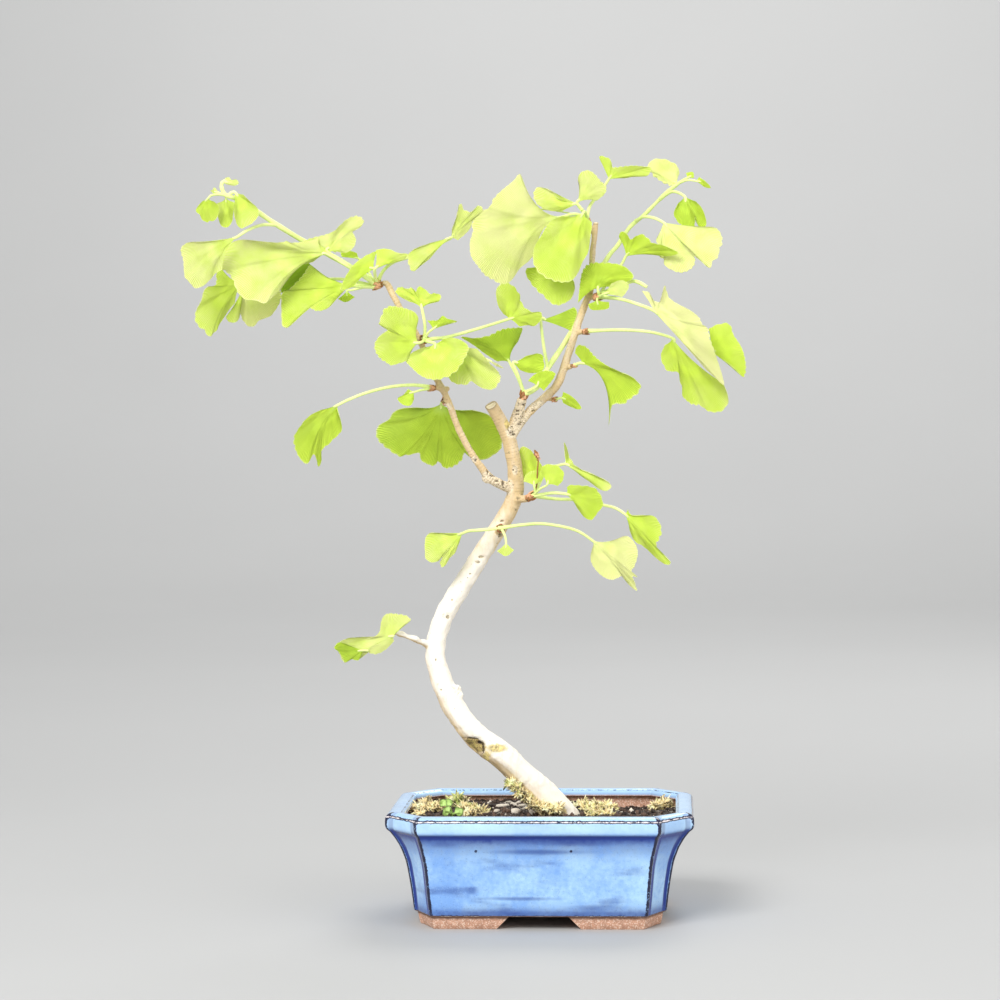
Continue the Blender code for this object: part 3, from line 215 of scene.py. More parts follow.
SIDE_WOOD = {
    "low_twig": ((432, 647, -4, 4.0), (424, 643, -8, 3.3), (419, 641.5, -10.5, 2.4), (414, 638.5, -12.5, 3.3),
                 (408, 637, -14, 2.3), (402, 634.5, -15.5, 3.0), (394, 632, -17, 2.2)),
    "centre_spur": ((511, 434, 2, 5.2), (517.5, 414, 3, 5.5), (522.5, 399, 2, 4.6)),
    "right_spur": ((513, 499, 4, 4.0), (522, 499, 0, 3.8), (528, 498, -2, 3.6)),
    "front_spur": ((498, 531, 5, 4.0), (499, 530, 0, 3.6), (500, 529, -2, 3.2)),
    "middle_spur": ((419, 340, -14, 3.2), (421, 341, -17, 3.0), (423, 341, -19, 2.8)),
    "low_left_spur": ((444, 390, -13.5, 3.0), (437, 388, -14.5, 2.8), (434, 388, -15, 2.6)),
    "low_nub": ((440, 388, -14, 2.8), (446, 389, -13.5, 2.6), (449.5, 388, -13, 1.8)),
    "back_spur": ((447, 399, -13, 3.0), (446, 400, -9.5, 2.8), (446, 400, -8, 2.6)),
    "bud_spur": ((588, 297, 16, 3.2), (592, 297, 14, 3.0), (595, 297, 12.5, 2.8)),
    "low_leader_spur": ((575, 332, 14.6, 3.0), (580, 332, 13.5, 2.8), (583, 332, 13, 2.6)),
    "leaf_spur": ((564, 367, 12.6, 3.2), (569, 367, 11, 2.8), (572, 366, 10, 2.4)),
    "small_spur": ((547, 396, 9, 3.0), (550, 399, 8, 2.4), (552, 400, 7.5, 2.0)),
    "top_spur": ((594, 234, 14.6, 2.6), (591, 228, 13, 2.4), (589, 224, 12, 2.2)),
}
# How young each wood is, from 0 to 1: the trunk is old, and so is the low twig
YOUNG_BRANCH = 0.6
YOUNG_LEADER = 0.5
YOUNG_SPUR = 0.9
OLD_WOOD = ("low_twig",)
# Bark turns young between these heights of the picture
YOUNG_DOWN = (-590, -490)
YOUNG_TOP = 0.85
# Marks on the wood in the picture: across, down, half width and half height
WOUND = (473.5, 746, 12, 8)
SPLITS = (
    (472, 738.8, 8, 1.1), (479.8, 743, 4.0, 2.0), (483, 750, 1.3, 5.5), (469, 750.5, 4, 1.2),
    (509, 430.5, 1.2, 1.1), (511.4, 432.6, 1.5, 1.1), (514, 434.4, 1.7, 1.0), (508.6, 427, 0.8, 1.8),
    (519, 424.5, 1.8, 0.9), (521, 422.5, 1.2, 1.0), (518, 411, 2.8, 1.0), (517, 414.5, 2.6, 0.9),
    (515, 418, 1.2, 0.9), (525, 405, 3, 1.6), (488, 470, 1.1, 4.2), (492.5, 475.5, 3.4, 1.2),
    (503.5, 483, 1.4, 5), (497, 481, 2.6, 1.0), (500, 536, 1.6, 2.0), (502, 521, 2.0, 0.9),
    (533, 411, 2.4, 1.0), (476, 460, 1.4, 2.0),
)
STAINS = (
    (497, 748, 11, 5), (515, 788, 8, 7), (526, 798, 9, 7), (540, 808, 12, 7), (556, 812, 12, 6),
    (486, 757, 4, 5), (507, 424, 3, 6),
)
SCARS = (
    (448, 617, 2.2, 2.4), (481, 557, 4.5, 1.6), (478, 562, 2.5, 2), (500.5, 535, 3, 2.6),
    (441, 690, 1.4, 1.2), (502, 521, 2.4, 1.2), (518, 498, 3, 2), (452, 600, 1.6, 1.2),
    (436, 660, 1.2, 2), (513, 470, 1.6, 1.3), (509, 452, 1.2, 2.0), (516, 510, 1.4, 1.2),
    (459, 640, 1.0, 1.4), (470, 574, 1.6, 1.0),
)
ROUGH = (
    (520, 416, 9, 15), (525, 404, 6, 8), (512, 432, 6, 6), (487, 478, 7, 7), (499, 484, 9, 7),
    (507, 487, 6, 8), (459, 692, 2, 7), (448, 407, 4, 4), (474, 460, 3, 4), (515, 470, 3, 5),
    (540, 405, 7, 5), (445, 615, 5, 3), (497, 749, 9, 4),
)
# Swellings of the wood: across, down, behind and radius in millimetres
SWELLINGS = ((502, 752, -8, 4.4), (456.5, 689.5, -8.5, 2.5), (459, 695, -8.5, 2.3), (487, 478, -3, 2.6))
# How deep the marks are carved, and how far apart the rings of young wood lie, in metres
WOUND_DEPTH = 0.0020
SPLIT_DEPTH = 0.0007
SCAR_DEPTH = 0.0006
RING_PITCH = 0.0014
# Cut ends: shares of the wood's and the viewer's direction in the cut's, and its reach in metres
CUT_TILT = (0.75, 0.75)
CUT_REACH = 0.0048

# Leaves: units of the picture in a millimetre there, and the units between columns, rows and scallops
UNITS_PER_MM = 2.03
LEAF_STEP = 1.7
LEAF_ROW = 5.0
LEAF_COLUMNS = (16, 170)
LEAF_ROWS = (7, 22)
SCALLOP = 6.5
STALK_SINK = 5.0
SMALL_LEAF = 30
# Threads and dried buds, and the tiers of a bud's scales: share of its length, tilt and size
THREAD_RADIUS = 0.35
DRIED_KNOB = 0.85
SCALES_IN_TIER = 5
SCALE_TIERS = ((-0.1, 0.45, 0.9), (0.2, 0.35, 1.2), (0.5, 0.45, 1.5))


class Leaf:
    """One fan-shaped leaf: its stalk ends at the fan's point, and margin runs round its outer edge.

    Lean is how far it turns back across and down, axis the way it leaves the stalk, pinch how long
    its sides stay together, curl how far one side stands behind the other, and tone its painted
    light and shade, from shaded when low to lit and pale when high.
    """

    def __init__(self, stalk, margin, lean=(0.0, 0.0), axis=None, pinch=0.3, curl=0.0, tone=0.5):
        self.stalk = stalk
        self.margin = margin
        self.lean = lean
        self.axis = axis
        self.pinch = pinch
        self.curl = curl
        self.tone = tone


class Spray:
    """All that grows from one bud: a scaly knob from bud to tip, shoots, leaves, threads, dried buds."""

    def __init__(self, bud, tip, shoots=(), knob=1.6, threads=(), dried=(), **leaves):
        self.bud = bud
        self.tip = tip
        self.leaves = list(leaves.values())
        self.shoots = shoots
        self.knob = knob
        self.threads = threads
        self.dried = dried


# Each leaf's tone is its painted light and shade: low for leaves that look shaded, high for lit, pale ones.
SPRAYS = {
    "spray_left_tip": Spray(
        bud=(381, 284, -10.5), tip=(373, 286, -11.5),
        shoots=(((376, 283, -11), (346, 264, -12), (322, 251, -12), (300, 239, -14), (274, 223, -21),
                 (258, 212, -27), (245, 203, -32), (235, 198, -36), (226, 195.5, -39), (222.5, 190, -40),
                 (221.5, 185, -40), (223.5, 181.5, -40), (228, 180, -39)),),
        bridge=Leaf(
            [(336, 251, -21.5), (331, 249, -22)],
            [(313, 262), (303, 263.5), (297, 257), (299, 244), (310, 239), (322, 236), (332, 232)],
            lean=(0.08, -0.08), axis=(-1, -0.1), pinch=0.05, tone=0.8),
        turned_edge=Leaf(
            [(330, 284, -15), (318, 274, -16)],
            [(311, 265), (303, 261.5), (290, 273), (281.5, 287), (282.5, 292.5), (290, 290.5), (298, 283)],
            lean=(0, 0), axis=(-1, 0), pinch=0.1, tone=-0.25),
        shoot_tip=Leaf(
            [(221.5, 185, -40), (223.5, 182, -40)],
            [(225.5, 178), (229, 177), (231.5, 180.5), (236, 179.3), (238.7, 183), (235, 185.7), (229, 185),
             (225.5, 184)], axis=(1, 0.1), pinch=0.1, tone=0.75),
        shoot_bract=Leaf(
            [(225, 195, -39), (219, 193, -40)],
            [(215.5, 188), (213.5, 187.7), (213.3, 190), (210.5, 190.3), (213, 193.3)],
            pinch=0.1, tone=0.7),
        shoot_end=Leaf(
            [(225, 195, -39), (217, 194.5, -42), (211, 195.5, -44), (208.5, 198, -45)],
            [(214, 201.5), (219, 206.5), (219.3, 213), (216.5, 219), (212.6, 222), (209.5, 220),
             (207.5, 222.5), (203.5, 220), (200, 215), (195.8, 209.5), (202.5, 201)],
            lean=(0.1, 0.1), tone=0.55),
        shoot_second=Leaf(
            [(236, 197, -36), (229, 196, -37), (226, 197.5, -37.5)],
            [(234, 202), (233.5, 212), (232.3, 222), (228, 227.3), (222, 226.5), (219.5, 221), (217, 212),
             (217, 203)], lean=(0.1, 0.0), axis=(0, 1), tone=0.65),
        shoot_third=Leaf(
            [(229, 195, -38), (232, 192.5, -38.5), (235, 192.5, -38.5)],
            [(243, 194.5), (251, 202), (257.5, 208.5), (258, 215), (254.5, 220), (251, 224), (247.5, 226),
             (242, 229.3), (237.5, 226), (234.5, 216), (233.5, 206)],
            lean=(0.15, -0.05), axis=(0.6, 0.75), tone=0.65, pinch=0.15),
        shoot_fourth=Leaf(
            [(277, 225, -20), (262, 225, -28), (248, 230, -35), (237, 237, -39)],
            [(222, 270), (216, 273), (210.5, 279.5), (204.5, 285), (198.5, 287.8), (193.5, 286),
             (189.5, 281), (185, 277.5), (183, 269), (182.7, 260), (181.5, 250), (184, 245.3), (190, 242),
             (197, 243.4), (206, 244.2), (218, 242.2)], lean=(0.25, 0.0), axis=(-0.9, 0.3), tone=0.8),
        broad_left=Leaf(
            [(373, 283, -13), (350, 268, -19), (327, 254, -24)],
            [(318, 238.5), (305, 241.5), (291, 243), (287, 241), (280, 242.6), (262, 241.5), (240, 240),
             (226, 246), (219, 258), (220.5, 267.5), (227.5, 272), (232, 280), (235.5, 289), (240.5, 295),
             (247, 299.5), (255, 300), (264, 304), (271, 298.5), (281, 289), (292, 272), (303, 263.5)],
            lean=(0.1, -0.1), axis=(-1, 0.05), pinch=0.4, tone=0.75),
        broad_right=Leaf(
            [(373, 283, -13), (352, 267, -18), (328, 252, -23)],
            [(340, 252), (347, 252.5), (353, 247.5), (355.5, 240), (353.5, 234), (353, 230.5), (360, 227.3),
             (363.8, 223), (363, 219), (357, 216.6), (349.5, 218.3), (343, 222.4), (334.5, 230),
             (324, 236.5), (315, 238.6), (305, 240.7)],
            lean=(-0.1, 0.05), axis=(0.3, -0.9), pinch=0.2, tone=0.8),
        hanging_left=Leaf(
            [(376, 285, -10.8), (367, 284, -8.5), (340, 279, -5), (300, 281, -5), (262, 283, -7),
             (243, 283, -9)],
            [(235, 303), (229, 310), (223, 319), (218.5, 326), (216, 332), (213, 333), (210, 337.5),
             (205, 330), (197, 323.5), (194.5, 316.5), (196, 309.5), (201.5, 300), (204.5, 291),
             (208.5, 286.5), (215.5, 285), (216, 272), (220.5, 267)],
            lean=(0.25, 0.0), axis=(-0.9, 0.4), tone=0.65),
        hanging_middle=Leaf(
            [(262, 283, -7), (244, 284, -9)],
            [(240, 306), (239.5, 316), (237, 321.5), (233, 323), (228, 321.5), (225.8, 317)],
            lean=(0.1, 0.0), axis=(-0.2, 1), curl=-3, tone=0.6),
        hanging_right=Leaf(
            [(262, 283, -7), (245, 284, -9)],
            [(281, 291), (281, 297), (279, 303), (276, 308), (270, 316.5), (260, 321), (255, 325.5),
             (251, 327), (245, 322.5), (241, 315), (239, 304)], lean=(0.1, 0.05), axis=(0.3, 1), tone=0.88),
        under_broad=Leaf(
            [(374, 287, -12), (362, 287, -15), (352, 286, -18)],
            [(318, 272), (310, 265), (303, 274), (296, 283), (290, 289.5), (283, 292), (280.5, 300),
             (280.5, 310), (282.4, 322.7), (284.5, 327), (289.5, 326.5), (295, 320.3), (303, 312),
             (309, 307), (314, 309.7), (320.6, 310.5), (328, 308), (333, 303), (340, 295)],
            lean=(0.05, -0.15), axis=(-1, 0.1), tone=0.55),
        sliver=Leaf(
            [(376, 285, -11), (366, 285, -11), (344, 284, -10)], [(317, 272), (321, 280), (333, 287)],
            axis=(-1, 0), pinch=0.1, tone=0.2),
        strap_left=Leaf(
            [(376, 281, -12), (375, 275, -16), (374, 269, -20)],
            [(377, 251), (366, 255), (357, 261), (350, 270), (340, 290), (353, 287)],
            lean=(0.25, -0.1), axis=(-0.7, -0.2), pinch=0.15, tone=0.55),
        strap_right=Leaf(
            [(376, 281, -12), (375, 275, -17), (375, 269, -21)],
            [(376, 250), (384, 249), (391, 250), (399, 253), (409, 254), (403, 260)],
            lean=(-0.1, -0.1), axis=(0.6, -0.6), pinch=0.15, tone=0.6),
        serrated=Leaf(
            [(376, 286, -11.2), (366, 287, -11.5), (352, 290, -11), (347, 291, -11)],
            [(338, 299), (346, 302), (355, 297)], axis=(0, 1), pinch=0.1, tone=0.4),
        behind_strap=Leaf(
            [(374, 281, -10), (366, 268, -7), (359, 259, -5)],
            [(342, 257), (341, 252), (350, 251), (357, 253)], axis=(-1, -0.3), pinch=0.1, tone=0.35),
        far_left_half=Leaf(
            [(378, 281, -10), (384, 270, -13), (394, 262, -15), (410, 257, -17), (431, 248, -18),
             (450, 238, -20)],
            [(431, 243), (414.5, 249), (408.5, 255), (408.5, 260), (410, 268), (413, 272), (418, 268),
             (430, 258.5)], lean=(0.25, -0.15), axis=(-1, 0.3), pinch=0.15, tone=0.75),
        far_right_half=Leaf(
            [(431, 248, -18), (451, 238, -20)],
            [(452, 229), (456, 218.5), (460, 202.5), (463, 207), (467, 211), (474.5, 211), (477.5, 206),
             (482.5, 211), (473.5, 220), (470, 229), (458, 240)],
            lean=(-0.3, 0.2), axis=(0.5, -0.85), pinch=0.2, tone=0.85),
    ),
    "spray_left_middle": Spray(
        bud=(423, 341, -19), tip=(425, 338, -23),
        spike=Leaf(
            [(455, 345, -23), (470, 352, -22.5), (487, 359.5, -22)],
            [(497, 363.5), (503.5, 368.3), (496, 366)], pinch=0.1, tone=0.9),
        upright=Leaf(
            [(424, 339, -21), (425, 326, -24), (422, 309, -26)],
            [(409, 301.3), (400.4, 296.8), (395.4, 292), (397, 288), (400.5, 286), (404, 288),
             (408.5, 288.5), (411, 287.3), (414.5, 290.5), (416, 293), (418.7, 287.4), (423.6, 288.8),
             (431.6, 294), (434.3, 292.3), (439.6, 294), (441.5, 297.3), (438.8, 301.3), (432.5, 303)],
            lean=(0, -0.25), tone=0.6),
        twin_lobed=Leaf(
            [(424, 340, -21), (422, 342, -25), (418, 343, -28)],
            [(414, 327), (417.5, 322.5), (418, 316.5), (413.8, 311), (405.5, 308.3), (398, 307.5),
             (391.4, 306.6), (384.3, 309.3), (380.7, 316.4), (378, 322.7), (382, 326), (390, 327.3),
             (387, 331.6), (380, 336), (374.5, 342.3), (373.6, 347), (375.5, 353), (381.6, 359.3),
             (387, 362), (391.5, 365), (399.5, 363.3), (406, 361), (410, 354)],
            lean=(0.2, 0), axis=(-1, -0.1), pinch=0.2, tone=0.68),
        lower_front=Leaf(
            [(424, 341, -21), (430, 342, -25), (435, 344, -28)],
            [(444, 338.5), (453, 338), (463, 341.5), (469, 347), (468, 354), (463.5, 361.5), (456, 370),
             (447.5, 376.3), (441.5, 379), (436, 380.7), (427, 379), (420, 374.5), (413, 368), (405.5, 361),
             (410, 354), (417, 350), (424, 347.5)], lean=(0, -0.12), axis=(0, 1), pinch=0.15, tone=0.6),
        lower_right=Leaf(
            [(424, 340, -21), (440, 338, -22), (453, 341, -23)],
            [(448, 376.3), (452, 381.5), (459.3, 384.8), (468, 385.2), (471, 381.3), (477, 385),
             (484.3, 388.3), (490, 389), (494.5, 388.5), (500.4, 381.6), (501.3, 377), (496.8, 370),
             (490.5, 364.5), (485, 357.5), (477, 348.6)],
            lean=(0, 0.02), axis=(0.5, 0.85), pinch=0.2, tone=0.72),
        edge_on=Leaf(
            [(425, 339, -22), (428, 333, -26), (433, 329, -29)],
            [(427, 320.5), (437, 320), (440, 318), (443, 315.3), (448, 318.8), (457, 321.5), (450, 323),
             (440, 323.3)], pinch=0.1, tone=0.3),
        long_stalked=Leaf(
            [(425, 340, -22), (447, 337, -22), (470, 331, -20), (490, 325, -17), (509, 319, -14)],
            [(503.5, 314), (497.5, 304.5), (496, 292), (499, 286.5), (504, 284), (511.5, 284.5), (519, 292),
             (522, 304.5), (530, 312), (541, 312), (542.5, 318.5), (535, 326), (527, 325), (519, 326.5)],
            lean=(0.1, 0.1), pinch=0.2, tone=0.6),
    ),
    "spray_left_low": Spray(
        bud=(434, 388, -15), tip=(429, 388, -16.5), knob=1.25,
        long_stalked=Leaf(
            [(430, 387, -16), (413, 385, -19), (390, 387, -23), (366, 393, -28), (348, 400, -32),
             (338, 405, -34)],
            [(338, 412), (341, 421.5), (341.5, 431), (334.5, 439), (328, 445), (321.5, 450.5), (321.5, 460),
             (318.5, 467), (316, 460), (313, 455), (307.5, 463.5), (301, 458.5), (294.5, 447),
             (293.3, 437.5), (299, 428), (309, 416.5), (321.5, 410)], lean=(0.2, 0.1), curl=3, tone=0.45),
        curled=Leaf(
            [(430, 389, -16), (422, 390, -18), (414, 392, -20)],
            [(414, 399), (411, 405), (404, 405), (397, 399), (403, 395), (408, 389)], pinch=0.1, tone=0.4),
    ),
    "spray_left_back": Spray(
        bud=(446, 400, -8), tip=(445, 401, -4),
        broad=Leaf(
            [(445, 401, -5), (443, 402, -1), (441, 404, 3)],
            [(417.5, 407.5), (402, 408.5), (393, 413), (388.5, 419.5), (378, 426), (376.5, 434.5),
             (380, 441), (386, 447), (392, 452.5), (398.5, 457), (405, 455.5), (411.5, 454), (419.5, 452),
             (421, 460), (427.5, 465), (434, 466.5), (438.7, 461.3), (443.5, 466.5), (448, 467),
             (453, 465.8), (459, 463), (463, 459), (464.5, 453), (469, 456.5), (475.5, 458.5), (482, 459),
             (488.5, 457.5), (501, 450), (502, 440), (499, 427), (489, 415), (472, 410)],
            lean=(0, 0.2), axis=(0, 1), pinch=0.2, tone=0.28),
    ),
    "spray_centre": Spray(
        bud=(523, 399, 2), tip=(525, 391, 1),
        shoots=(((524, 394, 1), (537, 387, 0), (548, 368, 2), (560, 350, 12), (570, 334, 21),
                 (581, 312, 27), (605, 262, 32), (618, 245, 35), (630, 227, 37), (643, 216, 38),
                 (655, 204, 39), (668, 191, 40), (679, 183, 41), (686, 179, 42)),),
        folded=Leaf(
            [(524, 394, 1), (518, 378, 2), (510, 363, 3)],
            [(518, 341.5), (521, 334), (522.5, 327.5), (514, 328.5), (507, 329.2), (498, 331),
             (491.5, 333.8), (482, 336.5), (473, 338.5), (461, 337), (467, 341), (473, 345), (485.5, 354),
             (497.5, 361.5)], lean=(0.1, 0.1), axis=(-0.5, -0.85), tone=0.15),
        small_right=Leaf(
            [(524, 394, 1), (519, 378, -1), (513, 363, -3)],
            [(526, 356), (542, 354), (543, 370), (530, 373), (520, 370)],
            lean=(0.1, 0), axis=(1, 0), pinch=0.15, tone=0.4),
        low_cup=Leaf(
            [(525, 393, 1), (531, 390, -3), (537, 386, -6)],
            [(528, 381), (533, 375), (541, 371), (549, 371), (555, 375), (544, 391)],
            axis=(0.3, -1), pinch=0.15, tone=0.3),
        crossing=Leaf(
            [(548, 368, 2), (544, 348, -3), (541, 320, -7)], [(574, 307), (577, 313), (571, 331)],
            axis=(1, 0), pinch=0.15, tone=0.2),
        hood=Leaf(
            [(668, 191, 40), (677, 185, 41)],
            [(679.5, 173), (677, 165.5), (668, 161), (660, 159.5), (652, 160), (646.5, 166), (648, 170),
             (652.5, 173), (653, 176.5), (657, 176.5), (659, 180.5), (662, 179.5), (664, 184),
             (667.5, 181.5), (669, 186)], lean=(0.1, -0.25), axis=(-0.7, -0.7), pinch=0.15, tone=0.85),
        drooping=Leaf(
            [(660, 199, 39), (671, 192, 36), (679, 193, 33), (685, 197, 31)],
            [(678, 203.5), (673.5, 213), (676, 219.5), (681, 224), (687, 227.8), (694, 228.5), (696, 217),
             (699, 227), (703, 227.5), (706, 223), (703, 210), (696, 201.5)],
            lean=(0, -0.1), axis=(0.1, 1), pinch=0.05, tone=0.25),
        split=Leaf(
            [(636, 221, 37), (643, 217, 33), (654, 218, 28), (664, 223, 25)],
            [(661, 232), (656, 241), (660, 248), (659.5, 256), (665, 258.5), (664, 264), (670.5, 270),
             (681, 273), (692, 266.5), (694, 256), (684.5, 247), (692, 254.5), (700, 260), (709.5, 268),
             (713.5, 261.3), (719, 257), (719, 250.5), (721.5, 242), (720, 233), (714.5, 227.5),
             (700, 227.5)], lean=(-0.1, -0.15), axis=(0.6, 0.8), pinch=0.05, tone=0.9),
        tip_bud=Leaf(
            [(684, 180, 42), (687, 178, 42)], [(686, 173), (693, 172), (694, 178)],
            axis=(1, -0.5), pinch=0.1, tone=0.5),
        tip_small=Leaf(
            [(679, 183, 41), (688, 180, 39), (696, 181, 38)],
            [(699, 177), (706, 182), (711, 188), (704, 187)], pinch=0.1, tone=0.5),
    ),
    "spray_leader_bud": Spray(
        bud=(595, 297, 12.5), tip=(600, 297, 10.5),
        shoots=(((598, 296, 11), (616, 288, 14), (633, 281, 12), (647, 287, 10)),),
        dried=((((598, 298, 11), (597, 302, 10.5)), (597.5, 309, 10)),),
        hood=Leaf(
            [(598, 297, 11), (599, 294, 9), (598, 291, 8)],
            [(578, 303), (579, 287), (583, 272), (590, 264), (604, 262), (616, 264), (628, 270), (633, 279),
             (611, 287)], lean=(0, -0.08), axis=(0, -1), pinch=0.4, tone=0.35),
        pale_inner=Leaf(
            [(599, 297, 10), (604, 294, 4)], [(611, 284), (621, 280), (629, 284), (627, 291), (622, 297)],
            axis=(1, -0.3), pinch=0.1, tone=0.8),
        low_inner=Leaf(
            [(598, 298, 10), (597, 300, 8)], [(588, 304), (592, 310), (608, 309), (609, 302)],
            axis=(0.2, 1), pinch=0.1, tone=0.3),
        ragged=Leaf(
            [(599, 296, 10), (620, 299, 5), (640, 305, 0), (654, 311, -5)],
            [(642, 291), (649, 292), (653, 299), (660, 302), (664.5, 286), (669, 296), (678.5, 304),
             (692, 312), (700, 318.5), (703, 324.5), (708.5, 328.5), (709.5, 339), (713.5, 350),
             (719, 363.5), (722, 374), (723.5, 385), (716, 378), (706, 369.5)],
            lean=(-0.08, 0), axis=(0.6, 0.6), pinch=0.2, tone=0.95),
        behind_ragged=Leaf(
            [(599, 297, 11), (620, 299, 10), (640, 305, 8), (655, 311, 6), (675, 323, 4), (695, 338, 4),
             (711, 351, 4)],
            [(709, 328.5), (718, 325), (727, 323), (731.5, 326), (734, 334), (740.5, 347), (746, 363.5),
             (746, 374), (743, 377), (735, 369), (724, 360)],
            lean=(-0.1, 0), axis=(0.8, -0.1), pinch=0.05, curl=-3, tone=0.5),
        tongue=Leaf(
            [(599, 296, 11), (610, 278, 22), (621, 265, 26), (626, 256, 27)],
            [(619, 237), (619.8, 232.5), (624.6, 231.5), (631, 240), (638, 235), (646, 235.6), (653, 242.3),
             (662, 245), (673, 250), (678.5, 253.5), (668, 256.5), (655, 254.5)],
            lean=(-0.3, 0.1), axis=(0.6, -0.6), pinch=0.15, tone=0.45),
    ),
    "spray_leader_low": Spray(
        bud=(583, 332, 13), tip=(589, 331, 12), knob=1.15,
        long_stalked=Leaf(
            [(588, 331, 12), (621, 330, 10), (650, 332, 8), (672, 338, 7)],
            [(665, 345), (661, 355.5), (664, 366), (668, 372), (678.5, 373), (680, 382), (684, 389),
             (682.5, 396), (691.5, 405), (700, 405.5), (708, 410.5), (714, 411.5), (722, 411), (728.5, 404),
             (728, 395.5), (723, 383)], lean=(-0.08, 0.06), axis=(0.5, 0.85), tone=0.52),
    ),
    "leaf_leader": Spray(
        bud=(572, 366, 10), tip=(577, 365, 8.5), knob=0.85,
        twisted=Leaf(
            [(575, 365, 9), (580, 363, 7)],
            [(575, 353), (577.5, 346), (585.5, 347), (595, 355.5), (606, 365), (619, 371.5), (632.5, 377),
             (640.5, 385), (638, 392), (627.5, 400), (624.5, 404), (615, 404.5), (611, 409.5),
             (608.5, 426)], lean=(-0.15, 0.05), axis=(0.95, 0.15), tone=0.3, pinch=0.5),
    ),
    "leaf_leader_small": Spray(
        bud=(552, 400, 7.5), tip=(557, 399, 7), knob=1.0,
        small=Leaf(
            [(555, 400, 7), (561, 398, 6)],
            [(563, 392), (571, 396), (578, 402), (582, 409), (576, 409), (563, 403)],
            axis=(1, 0.3), pinch=0.15, tone=0.35),
    ),
    "spray_leader_top": Spray(
        bud=(589, 224, 12), tip=(587, 218, 10.8), knob=1.0,
        threads=(((574, 214, 10), (560, 211.5, 11), (546, 209.5, 12), (533, 209, 12)),),
        broad_left=Leaf(
            [(587, 218, 10), (575, 214, 9), (562, 217, 8)],
            [(533, 206), (526.5, 196), (523.5, 184), (519.5, 173.5), (513, 180), (504, 189), (493, 200),
             (489.5, 206.5), (479, 212.5), (473, 221.5), (473.5, 231), (469, 243), (470.5, 255.5),
             (479, 266), (485.5, 275.5), (494.5, 281.5), (504, 285.5), (513, 278.5), (519.5, 269),
             (528.5, 261.5), (535, 253)], lean=(0.05, 0.04), axis=(-1, 0.1), pinch=0.45, tone=0.88),
        round_front=Leaf(
            [(587, 218, 10), (585, 212, 5), (583, 213, 2)],
            [(562, 216), (549, 222), (541, 236), (533.5, 249), (532.5, 262), (537.5, 271), (550, 278.5),
             (562, 282.8), (571.5, 281.5), (578, 272.5), (582.5, 261.5), (588.5, 252), (590.5, 237),
             (592, 222)], axis=(-0.4, 0.9), pinch=0.2, tone=0.66),
        behind_round=Leaf(
            [(588, 219, 10), (581, 236, 11), (568, 252, 11)],
            [(527, 268), (526, 273), (531.5, 283), (537, 291), (544, 297), (551, 302.5), (558, 304.5),
             (566, 302), (571.5, 298.5), (575, 289), (574, 282)],
            lean=(-0.15, 0), axis=(-0.5, 0.85), tone=0.6),
        small_left=Leaf(
            [(587, 217, 10), (582, 210, 9), (577, 204, 8)],
            [(562, 200.5), (557, 198), (548.5, 189.5), (543, 188), (537.7, 187.7), (534, 194), (536, 203),
             (544, 209.2), (553, 211), (562, 211)],
            lean=(0.1, -0.1), axis=(-1, 0.1), pinch=0.05, curl=2, tone=0.75),
        small_right=Leaf(
            [(582, 210, 9), (577, 203, 9)],
            [(581, 190), (578, 178.5), (581, 172), (588, 170.5), (594, 174.5), (599, 180), (604, 184),
             (607, 188), (605, 194), (597, 200.5)], lean=(-0.1, 0.1), axis=(0.6, -0.8), tone=0.8),
        pointing_right=Leaf(
            [(587, 217, 10), (590, 206, 13), (598, 195, 15), (609, 179, 15)],
            [(606.5, 168), (599, 157.5), (604, 157), (611, 161), (612.5, 167), (622, 166), (633, 165.7),
             (644, 167), (651, 168), (648, 176), (640, 175.5), (625, 178)],
            lean=(-0.1, 0.1), axis=(0.5, -0.8), pinch=0.05, tone=0.6),
    ),
    "spray_trunk_right": Spray(
        bud=(528, 498, -2), tip=(535, 495, -4),
        dried=((((535, 494, -4), (537, 483, -6), (537.5, 470, -7), (538.5, 459, -7)), (535, 451, -7.5)),),
        behind=Leaf(
            [(533, 495, -3), (535, 490, 3), (534, 484, 6)],
            [(520, 481), (519, 465), (520, 448), (525, 446.3), (530, 449), (536, 457), (541, 465),
             (543, 475)], lean=(0, 0.1), axis=(-0.1, -1), pinch=0.1, tone=0.6),
        tiny=Leaf(
            [(534, 495, -4), (535, 491, -6), (534, 485.5, -7)],
            [(523.5, 481.5), (526, 475), (531, 471.5), (538, 470.5), (544, 474), (542, 481)],
            lean=(0, -0.1), axis=(0, -1), pinch=0.1, tone=0.6),
        cup=Leaf(
            [(534, 495, -4), (540, 489, -9), (547, 485, -12)],
            [(541, 472), (542, 466), (548, 464), (557, 466), (563, 472), (563, 480), (558, 486)],
            axis=(0.2, -1), pinch=0.2, tone=0.6),
        spiked=Leaf(
            [(534, 495, -3), (542, 478, 2), (546, 467, 2), (556, 466, -2), (565, 464, -5)],
            [(565, 455), (564, 441.5), (567, 448), (570.5, 461), (579.5, 468.5), (592, 473.8), (605, 480),
             (610.5, 485.5), (607.5, 490.5), (601, 490), (590, 482), (579.5, 474.5)],
            lean=(-0.1, -0.05), axis=(0.8, 0.3), pinch=0.2, curl=2, tone=0.75),
        middle=Leaf(
            [(534, 496, -4), (552, 493, -8), (566, 494, -11)],
            [(567, 487), (570, 485.3), (579.5, 485.8), (590, 486.5), (597.5, 489.3), (601.5, 496),
             (602.5, 505.5), (597.5, 511.5), (592, 520), (584.5, 517.5), (577, 507.5)],
            lean=(-0.1, 0.1), axis=(0.9, 0.3), tone=0.5),
        outer=Leaf(
            [(534, 496, -3), (556, 499, 2), (580, 500, 2), (603, 505, -1), (615, 508, -3), (625, 514, -5)],
            [(628, 509.5), (631, 515), (646, 515.3), (654, 516), (659, 522.5), (660.5, 533), (656.5, 545.5),
